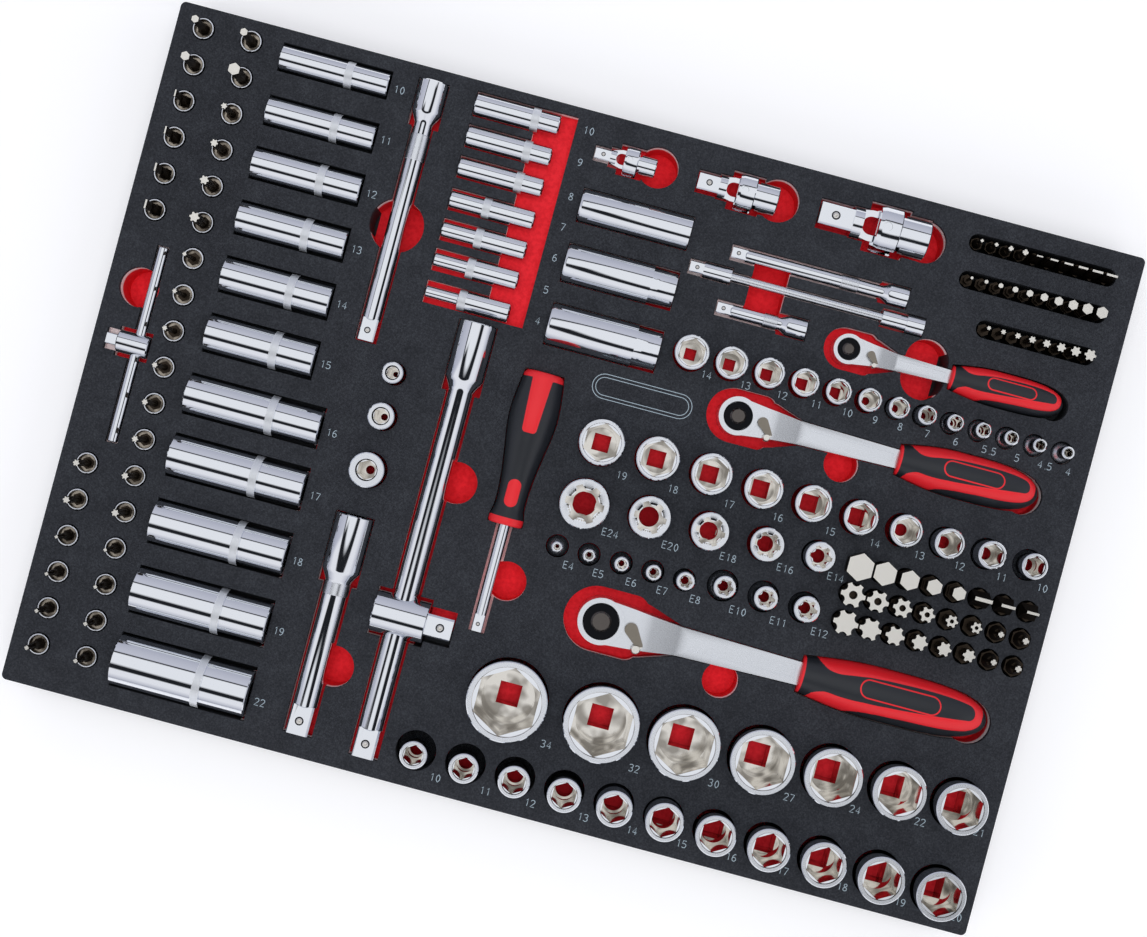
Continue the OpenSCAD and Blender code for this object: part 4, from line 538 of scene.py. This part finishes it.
def stadium(long, wide, x, y, z, steps=12):
    straight, radius = (long - wide) / 2, wide / 2
    points = []
    for side, start in ((1, -90), (-1, 90)):
        for k in range(steps + 1):
            angle = math.radians(start + 180 * k / steps)
            points.append((x + side * straight + radius * math.cos(angle), y + radius * math.sin(angle), z))
    return points


def makePlainPlate():
    # bare double outline pressed into the skin
    v, top = plateValues, markValues["foamTop"]
    paths = [stadium(v["long"] - 2 * inset, v["wide"] - 2 * inset, v["x"], v["y"], top)
             for inset in (0, v["inset"])]
    bm = lineMesh(paths, v["line"], True)
    flatten(bm, top, v["flatShare"])
    finishPiece(bm, "plainPlateLines", [markPaint], "tray")


makeSizeMarks()
makePlainPlate()
print("sizes printed on the foam")


gripValues = {
    # head place, grip start and end, front and largest diameter, neck drop: all in mm
    "plans": [(105.4, 192.7, 259.4, 13.4, 20.0), (52.6, 175.9, 258.4, 17.0, 26.0),
              (-79.0, 153.7, 263.5, 21.0, 30.0)],
    "axisZ": 36.0, "rings": 110, "around": 96, "proud": 0.35, "thickAt": 0.4,
    "panelEnd": 0.914, "panelCorner": 0.32, "redEnd": 0.966,
    "black": "#1c1f24", "red": "#df1f28", "grain": 0.45,
}
# the plain outline on the dark panel, as parts of the grip's length and width
padValues = {"longShare": 0.42, "wideShare": 0.34, "centre": 0.513, "shift": 0.17, "line": 0.4}


def gripRadius(front, widest, t):
    at = gripValues["thickAt"]
    if t < at:
        return (front + (widest - front) * math.sin(math.pi / 2 * t / at)) / 2
    return widest / 2 * math.sqrt(max(0.0, 1 - ((t - at) / (1 - at)) ** 4))


def throughPoints(stops, t):
    # value at t on a smooth line through (t, value) points
    for k in range(len(stops) - 1):
        if t <= stops[k + 1][0] or k == len(stops) - 2:
            (ta, a), (tb, b) = stops[k], stops[k + 1]
            before, after = stops[max(k - 1, 0)][1], stops[min(k + 2, len(stops) - 1)][1]
            u = min(max((t - ta) / (tb - ta), 0.0), 1.0)
            return 0.5 * (2 * a + (b - before) * u + (2 * before - 5 * a + 4 * b - after) * u * u
                          + (3 * a - before - 3 * b + after) * u * u * u)


# edges of the red on a grip: part of its length, then place across it as a part of its radius
panelTop = [(0.055, 1.1), (0.09, 0.8), (0.13, 0.56), (0.184, 0.47), (0.244, 0.51), (0.36, 0.6),
            (0.55, 0.66), (0.77, 0.68), (0.95, 0.68)]
panelFoot = [(0.045, -1.1), (0.075, -0.67), (0.133, -0.43), (0.213, -0.43), (0.338, -0.38),
             (0.584, -0.26), (0.797, -0.12), (0.95, -0.02)]
redFoot = [(0.235, -1.1), (0.262, -0.98), (0.292, -0.87), (0.34, -0.78), (0.412, -0.72), (0.597, -0.65),
           (0.768, -0.63), (0.88, -0.6), (0.925, -0.5), (0.95, -0.3), (0.962, 0.1), (0.966, 1.2)]


def redOnGrip(t, across, radius, upper, length):
    # distance in mm into the red: two wedges that join in a U round a dark panel
    v = across / max(radius, 0.01)
    top, foot = throughPoints(panelTop, t), throughPoints(panelFoot, t)
    corner = gripValues["panelCorner"] * radius
    dx = (t - gripValues["panelEnd"]) * length + corner
    dy = abs(v - (top + foot) / 2) * radius - (top - foot) / 2 * radius + corner
    panel = math.hypot(max(dx, 0), max(dy, 0)) + min(max(dx, dy), 0) - corner
    outer = 5.0 if t < redFoot[0][0] else (v - throughPoints(redFoot, t)) * radius
    under = upper + 0.25 * radius
    return min(panel, outer, under, (gripValues["redEnd"] - t) * length)


def padOnGrip(t, across, widest, length):
    # signed distance in mm from the plain stadium outline on the dark panel
    long, wide = padValues["longShare"] * length / 2, padValues["wideShare"] * widest / 2
    dx = max(abs((t - padValues["centre"]) * length) - (long - wide), 0)
    return wide - math.hypot(dx, across - padValues["shift"] * widest / 2)


def latheAlong(bm, profile, around, axis):
    # spins a profile of (along, radius) into a closed skin; axis "X" or "Y"
    verts = []
    for along, radius in profile:
        place = (along * mm, radius * mm, 0) if axis == "X" else (radius * mm, along * mm, 0)
        verts.append(bm.verts.new(place))
    edges = [bm.edges.new(pair) for pair in zip(verts, verts[1:])]
    direction = (1, 0, 0) if axis == "X" else (0, 1, 0)
    bmesh.ops.spin(bm, geom=verts + edges, cent=(0, 0, 0), axis=direction, angle=math.tau,
                   steps=around, use_merge=True)
    bmesh.ops.remove_doubles(bm, verts=bm.verts, dist=0.005 * mm)
    bmesh.ops.recalc_face_normals(bm, faces=bm.faces)


def makeTwoColour():
    # soft grip moulded in two shots: redEdge is the distance into the red in mm, and padEdge
    # the distance from the outline on the panel
    material, tree, principled, place = newMaterial("twoShotGrip", {"Roughness": 0.4, "IOR": 1.5})
    edge = addNode(tree, "ShaderNodeAttribute", {"attribute_name": "redEdge"})
    mask = addNode(tree, "ShaderNodeMapRange", None,
                   {"Value": edge.outputs["Fac"], "From Min": -0.08, "From Max": 0.08})
    pad = addNode(tree, "ShaderNodeAttribute", {"attribute_name": "padEdge"})
    fromLine = addNode(tree, "ShaderNodeMath", {"operation": "ABSOLUTE"}, {0: pad.outputs["Fac"]})
    line = addNode(tree, "ShaderNodeMapRange", None,
                   {"Value": fromLine.outputs[0], "From Min": padValues["line"] + 0.06,
                    "From Max": padValues["line"] - 0.06})
    red = addNode(tree, "ShaderNodeMath", {"operation": "MAXIMUM"},
                  {0: mask.outputs[0], 1: line.outputs[0]})
    colour = addNode(tree, "ShaderNodeMix", {"data_type": "RGBA"},
                     {0: red.outputs[0], 6: linearColour(gripValues["black"]),
                      7: linearColour(gripValues["red"])})
    tree.links.new(colour.outputs[2], principled.inputs["Base Color"])
    noise = addNode(tree, "ShaderNodeTexNoise", None,
                    {"Vector": place, "Scale": 1 / gripValues["grain"], "Detail": 2.0})
    spread = addNode(tree, "ShaderNodeMapRange", None,
                     {"Value": noise.outputs["Fac"], "To Min": 0.34, "To Max": 0.48})
    tree.links.new(spread.outputs[0], principled.inputs["Roughness"])
    height = addNode(tree, "ShaderNodeMath", {"operation": "MULTIPLY_ADD"},
                     {0: noise.outputs["Fac"], 1: 0.06, 2: line.outputs[0]})
    bump = addNode(tree, "ShaderNodeBump", None,
                   {"Height": height.outputs[0], "Distance": 0.2 * mm, "Strength": 0.6})
    tree.links.new(bump.outputs[0], principled.inputs["Normal"])
    return material


twoShot = makeTwoColour()


def paintEdges(bm, distanceAt, proud):
    # stores the distance and lifts the red a little out of the black
    layer = bm.verts.layers.float.new("redEdge")
    padLayer = bm.verts.layers.float.new("padEdge")
    for vert in bm.verts:
        distance, padDistance, normal = distanceAt(vert.co)
        vert[layer], vert[padLayer] = distance, padDistance
        lift = min(max(distance / 0.6, 0.0), 1.0)
        vert.co += normal * (proud * mm * lift * lift * (3 - 2 * lift))


def makeGrip(i):
    y0, start, end, front, widest = gripValues["plans"][i]
    length = end - start
    count = gripValues["rings"]
    profile = [(0.0, 0.0), (0.0, front / 2 - 0.8), (0.25, front / 2 - 0.3)]
    for k in range(1, count + 1):
        t = 1 - (1 - k / count) ** 1.6 if k > count * 0.5 else k / count * (1 - 0.5 ** 1.6) / 0.5
        profile.append((t * length, gripRadius(front, widest, t)))
    profile[-1] = (length, 0.0)
    bm = bmesh.new()
    latheAlong(bm, profile, gripValues["around"], "X")

    def distanceAt(co):
        x, y, z = co.x / mm, co.y / mm, co.z / mm
        t = min(max(x / length, 0.0), 1.0)
        radius = max(gripRadius(front, widest, t), math.hypot(y, z))
        collar = 1.6 - x
        distance = redOnGrip(t, y, radius, z, length)
        away = Vector((0, y, z))
        away = away.normalized() if away.length > 0.01 else Vector((0, 0, 0))
        padDistance = padOnGrip(t, y, widest, length) if z > 0 else -5.0
        return max(distance, collar if x < 4 else -5), padDistance, away

    paintEdges(bm, distanceAt, gripValues["proud"])
    bmesh.ops.translate(bm, vec=(start * mm, y0 * mm, gripValues["axisZ"] * mm), verts=bm.verts)
    name = f"ratchet_grip_{i}"
    finishPiece(bm, f"moulded_{name}", [twoShot], cadNodes[name]["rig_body"],
                [name, f"ratchet_inlay_{i}"], 50)


for i in range(3):
    makeGrip(i)
print("grips moulded")


spinnerValues = {
    # along the handle as a part of its length, and the diameter there in mm
    "profile": [(0, 19.0), (0.03, 19.5), (0.06, 19.0), (0.11, 16.8), (0.2, 16.6), (0.33, 18.4),
                (0.48, 22.2), (0.6, 25.6), (0.7, 27.2), (0.8, 26.6), (0.92, 24.2), (0.975, 22.6), (1, 20.4)],
    "place": (-29.5, -40.7, 38.0), "length": 88.6, "rings": 90, "around": 96, "proud": 0.3,
    "collarEnd": 4.4, "capStart": 84.6, "stripEnd": 53.5, "stripWide": (12.0, 8.0),
    "stripCorner": 2.0, "oval": (18.5, 16.0, 7.6),
}


def makeSpinnerHandle():
    v = spinnerValues
    profile = [(0.0, 0.0), (0.0, v["profile"][0][1] / 2 - 0.9), (0.3, v["profile"][0][1] / 2 - 0.3)]
    for k in range(1, v["rings"] + 1):
        t = k / v["rings"]
        profile.append((t * v["length"], throughPoints(v["profile"], t) / 2))
    last = profile.pop()
    profile += [(v["length"] - 0.3, last[1] - 0.3), (v["length"], last[1] - 1.2), (v["length"], 0.0)]
    bm = bmesh.new()
    latheAlong(bm, profile, v["around"], "Y")
    wideEnd, wideLow = v["stripWide"]
    ovalMiddle, ovalLong, ovalWide = v["oval"]

    def distanceAt(co):
        x, y, z = co.x / mm, co.y / mm, co.z / mm
        away = Vector((x, 0, z))
        away = away.normalized() if away.length > 0.01 else Vector((0, 0, 0))
        share = min(max((y - v["stripEnd"]) / (v["length"] - v["stripEnd"]), 0.0), 1.0)
        half = (wideLow + (wideEnd - wideLow) * share) / 2
        corner = v["stripCorner"]
        dx, dy = abs(x) - (half - corner), (v["stripEnd"] + corner) - y
        strip = corner - math.hypot(max(dx, 0), max(dy, 0))
        dy = max(abs(y - ovalMiddle) - (ovalLong - ovalWide) / 2, 0.0)
        oval = ovalWide / 2 - math.hypot(x, dy)
        if z < 0:
            strip, oval = -5, -5
        return max(strip, oval, y - v["capStart"], v["collarEnd"] - y), -5.0, away

    paintEdges(bm, distanceAt, v["proud"])
    bmesh.ops.translate(bm, vec=[p * mm for p in v["place"]], verts=bm.verts)
    finishPiece(bm, "moulded_spinner_handle", [twoShot], cadNodes["spinner_handle"]["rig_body"],
                ["spinner_handle", "spinner_inlays"], 50)


makeSpinnerHandle()


detentValues = {
    # piece: body, place in the plan, height of the flat it sits in, ball radius, all in mm
    "joint_0": ("joint_yoke_0", (-29.6, 176.1), 41.15, 1.35),
    "joint_1": ("joint_yoke_1", (32.4, 175.8), 42.75, 2.0),
    "joint_2": ("joint_yoke_2", (106.0, 176.0), 44.35, 2.7),
    "three_eighths_bar": ("three_eighths_extension", (-132.6, 45.4), 42.75, 2.0),
    "half_bar_long": ("half_extension_long", (-73.1, -180.3), 44.35, 2.7),
    "half_bar_short": ("half_extension_short", (-112.4, -177.4), 44.35, 2.7),
    "slider": ("slider_head", (-49.4, -106.4), 44.35, 2.7),
    "quarter_bar_long": ("quarter_extension_long", (58.8, 141.8), 41.15, 1.3),
    "quarter_bar_short": ("quarter_extension_short", (58.5, 109.5), 41.15, 1.3),
    "flexible": ("flexible_extension", (38.2, 128.1), 41.15, 1.3),
    "spinner_end": ("spinner", (-29.5, -98.9), 41.15, 1.3),
}


# shares of the ball's radius, and the ring's rise and its steps outwards: growth, then lift in mm
ballValues = {"ball": 0.72, "flat": 0.75, "sunk": 0.12, "ring": 0.7, "rise": 0.03,
              "steps": ((1.28, 0.05), (1.12, -0.3))}


def makeDetent(name, body, plan, top, radius):
    # steel ball held in a ring whose dark colour is painted shade of the gap round the ball; the ball stands
    # a little proud
    b = ballValues
    bm = bmesh.new()
    bmesh.ops.create_uvsphere(bm, u_segments=20, v_segments=12, radius=radius * b["ball"] * mm)
    bmesh.ops.scale(bm, vec=(1, 1, b["flat"]), verts=bm.verts)
    bmesh.ops.translate(bm, vec=(0, 0, -b["sunk"] * radius * mm), verts=bm.verts)
    ballFaces = set(bm.faces)
    ring = bmesh.ops.create_circle(bm, segments=28, radius=radius * b["ring"] * mm)["verts"]
    bmesh.ops.translate(bm, vec=(0, 0, b["rise"] * mm), verts=ring)
    edges = list(dict.fromkeys(e for v in ring for e in v.link_edges))
    for grow, lift in b["steps"]:
        made = bmesh.ops.extrude_edge_only(bm, edges=edges)
        verts = [g for g in made["geom"] if isinstance(g, bmesh.types.BMVert)]
        edges = [g for g in made["geom"] if isinstance(g, bmesh.types.BMEdge)]
        bmesh.ops.scale(bm, vec=(grow, grow, 1), verts=verts)
        bmesh.ops.translate(bm, vec=(0, 0, lift * mm), verts=verts)
    # the ring round the ball takes the dark oxide as painted shade
    for face in bm.faces:
        if face not in ballFaces:
            face.material_index = 1
    bmesh.ops.recalc_face_normals(bm, faces=[f for f in bm.faces if f not in ballFaces])
    bmesh.ops.translate(bm, vec=(plan[0] * mm, plan[1] * mm, top * mm), verts=bm.verts)
    finishPiece(bm, f"detent_{name}", [metals["groundSteel"], metals["blackOxide"]], body)


knurlValues = {
    # band: body, axis, start and end along it, the other plan place, shaft radius, teeth round
    "three_eighths_bar": ("three_eighths_extension", "Y", 145.0, 160.0, -132.6, 5.3, 30),
    "half_bar_short": ("half_extension_short", "Y", -104.0, -93.0, -112.4, 7.0, 38),
    "quarter_bar_long": ("quarter_extension_long", "X", 119.0, 129.0, 141.8, 3.7, 22),
    "quarter_bar_short": ("quarter_extension_short", "X", 82.0, 90.0, 109.5, 3.7, 22),
}


def makeKnurl(name, body, axis, start, end, other, radius, teeth):
    # crossed knurl: rows of small pyramids, each row turned by half a tooth
    rowStep = math.pi * radius / teeth
    rowCount = max(4, int((end - start) / rowStep))
    low, high = radius + 0.05, radius + 0.4
    bm = bmesh.new()
    verts = bmesh.ops.create_circle(bm, segments=2 * teeth, radius=(radius - 0.3) * mm)["verts"]
    edges = list(dict.fromkeys(e for v in verts for e in v.link_edges))
    for row in range(rowCount + 2):
        made = bmesh.ops.extrude_edge_only(bm, edges=edges)
        verts = [g for g in made["geom"] if isinstance(g, bmesh.types.BMVert)]
        edges = [g for g in made["geom"] if isinstance(g, bmesh.types.BMEdge)]
        along = start + (end - start) * min(max(row - 0.5, 0), rowCount) / rowCount
        for vert in verts:
            angle = math.atan2(vert.co.y, vert.co.x)
            step = round(angle / math.tau * 2 * teeth)
            size = high if (step + row) % 2 else low
            if row in (0, rowCount + 1):
                size = low
            vert.co = Vector((size * math.cos(angle) * mm, size * math.sin(angle) * mm, along * mm))
    for vert in bm.verts:
        if abs(vert.co.z) < 1e-9 and vert.co.xy.length < (radius - 0.1) * mm:
            vert.co.z = start * mm
    bmesh.ops.recalc_face_normals(bm, faces=bm.faces)
    if axis == "X":
        turn, place = Matrix.Rotation(math.pi / 2, 4, "Y"), (0, other * mm, 38 * mm)
    else:
        turn, place = Matrix.Rotation(-math.pi / 2, 4, "X"), (other * mm, 0, 38 * mm)
    bmesh.ops.transform(bm, matrix=Matrix.Translation(place) @ turn, verts=bm.verts)
    finishPiece(bm, f"knurl_{name}", [metals["satinChrome"]], body, (), 20)


for name, (body, plan, top, radius) in detentValues.items():
    makeDetent(name, body, plan, top, radius)
for name, values in knurlValues.items():
    makeKnurl(name, *values)
print("detents and knurls made")


studioValues = {
    "floor": "#f6f6f7", "floorHalf": 12.0, "floorGlow": 0.14,
    "topLight": 16.0, "topSize": 1.3, "topPlace": (0.05, -0.15, 1.9),
    "cameraHeight": 0.890, "lens": 47.13, "turn": 15.0,
    # walls of light from the foot to the top of the room, and the slant of the line between them
    "farWall": [(0.0, "#b4b6c4"), (0.74, "#cdced9"), (0.768, "#2a2c30"), (0.80, "#2a2c30"),
                (0.83, "#f4f5f8")],
    "nearWall": [(0.0, "#a9abb6"), (0.2, "#d2d3dc"), (0.45, "#f2f2f6"), (0.74, "#f2f2f6"),
                 (0.79, "#202226"), (0.91, "#202226"), (0.95, "#f4f5f8")],
    "slant": -0.35, "seam": 0.06,
}


def makeStudio():
    v = studioValues
    bm = bmesh.new()
    bmesh.ops.create_grid(bm, x_segments=2, y_segments=2, size=v["floorHalf"])
    mesh = bpy.data.meshes.new("floor")
    bm.to_mesh(mesh)
    bm.free()
    floor = bpy.data.objects.new("floor", mesh)
    bpy.context.scene.collection.objects.link(floor)
    # painted board that glows a little, as a light table does
    material, tree, principled, place = newMaterial("paleFloor", {
        "Base Color": linearColour(v["floor"]), "Roughness": 0.7,
        "Emission Color": (1, 1, 1, 1), "Emission Strength": v["floorGlow"]})
    mesh.materials.append(material)

    # soft walls of light under a ceiling with a dark gap, wide on one side and narrow on the
    # other, which gives chrome its uneven dark lines
    world = bpy.data.worlds.new("studio")
    bpy.context.scene.world = world
    world.use_nodes = True
    tree = world.node_tree
    coords = addNode(tree, "ShaderNodeTexCoord")
    split = addNode(tree, "ShaderNodeSeparateXYZ", None, {0: coords.outputs["Generated"]})
    far = addNode(tree, "ShaderNodeValToRGB", None, {"Fac": split.outputs[2]}, v["farWall"])
    near = addNode(tree, "ShaderNodeValToRGB", None, {"Fac": split.outputs[2]}, v["nearWall"])
    lean = addNode(tree, "ShaderNodeMath", {"operation": "MULTIPLY_ADD"},
                   {0: split.outputs[0], 1: v["slant"], 2: split.outputs[1]})
    which = addNode(tree, "ShaderNodeMapRange", {"interpolation_type": "SMOOTHSTEP"},
                    {"Value": lean.outputs[0], "From Min": -v["seam"], "From Max": v["seam"]})
    tone = addNode(tree, "ShaderNodeMix", {"data_type": "RGBA"},
                   {0: which.outputs[0], 6: near.outputs[0], 7: far.outputs[0]})
    tree.links.new(tone.outputs[2], tree.nodes["Background"].inputs["Color"])

    light = bpy.data.lights.new("topBox", "AREA")
    light.shape, light.size, light.energy = "SQUARE", v["topSize"], v["topLight"]
    lamp = bpy.data.objects.new("topBox", light)
    lamp.location = v["topPlace"]
    lamp.visible_glossy = False  # the steel mirrors the walls and ceiling, not the lamp
    bpy.context.scene.collection.objects.link(lamp)

    camera = bpy.data.cameras.new("camera")
    camera.sensor_fit, camera.sensor_width, camera.lens = "HORIZONTAL", 36, v["lens"]
    camera.clip_start = 0.01
    eye = bpy.data.objects.new("camera", camera)
    eye.location = (0, 0, v["cameraHeight"])
    eye.rotation_euler = (0, 0, math.radians(v["turn"]))
    bpy.context.scene.collection.objects.link(eye)
    bpy.context.scene.camera = eye


makeStudio()
bpy.context.scene.view_settings.view_transform = "Standard"
print("studio ready")
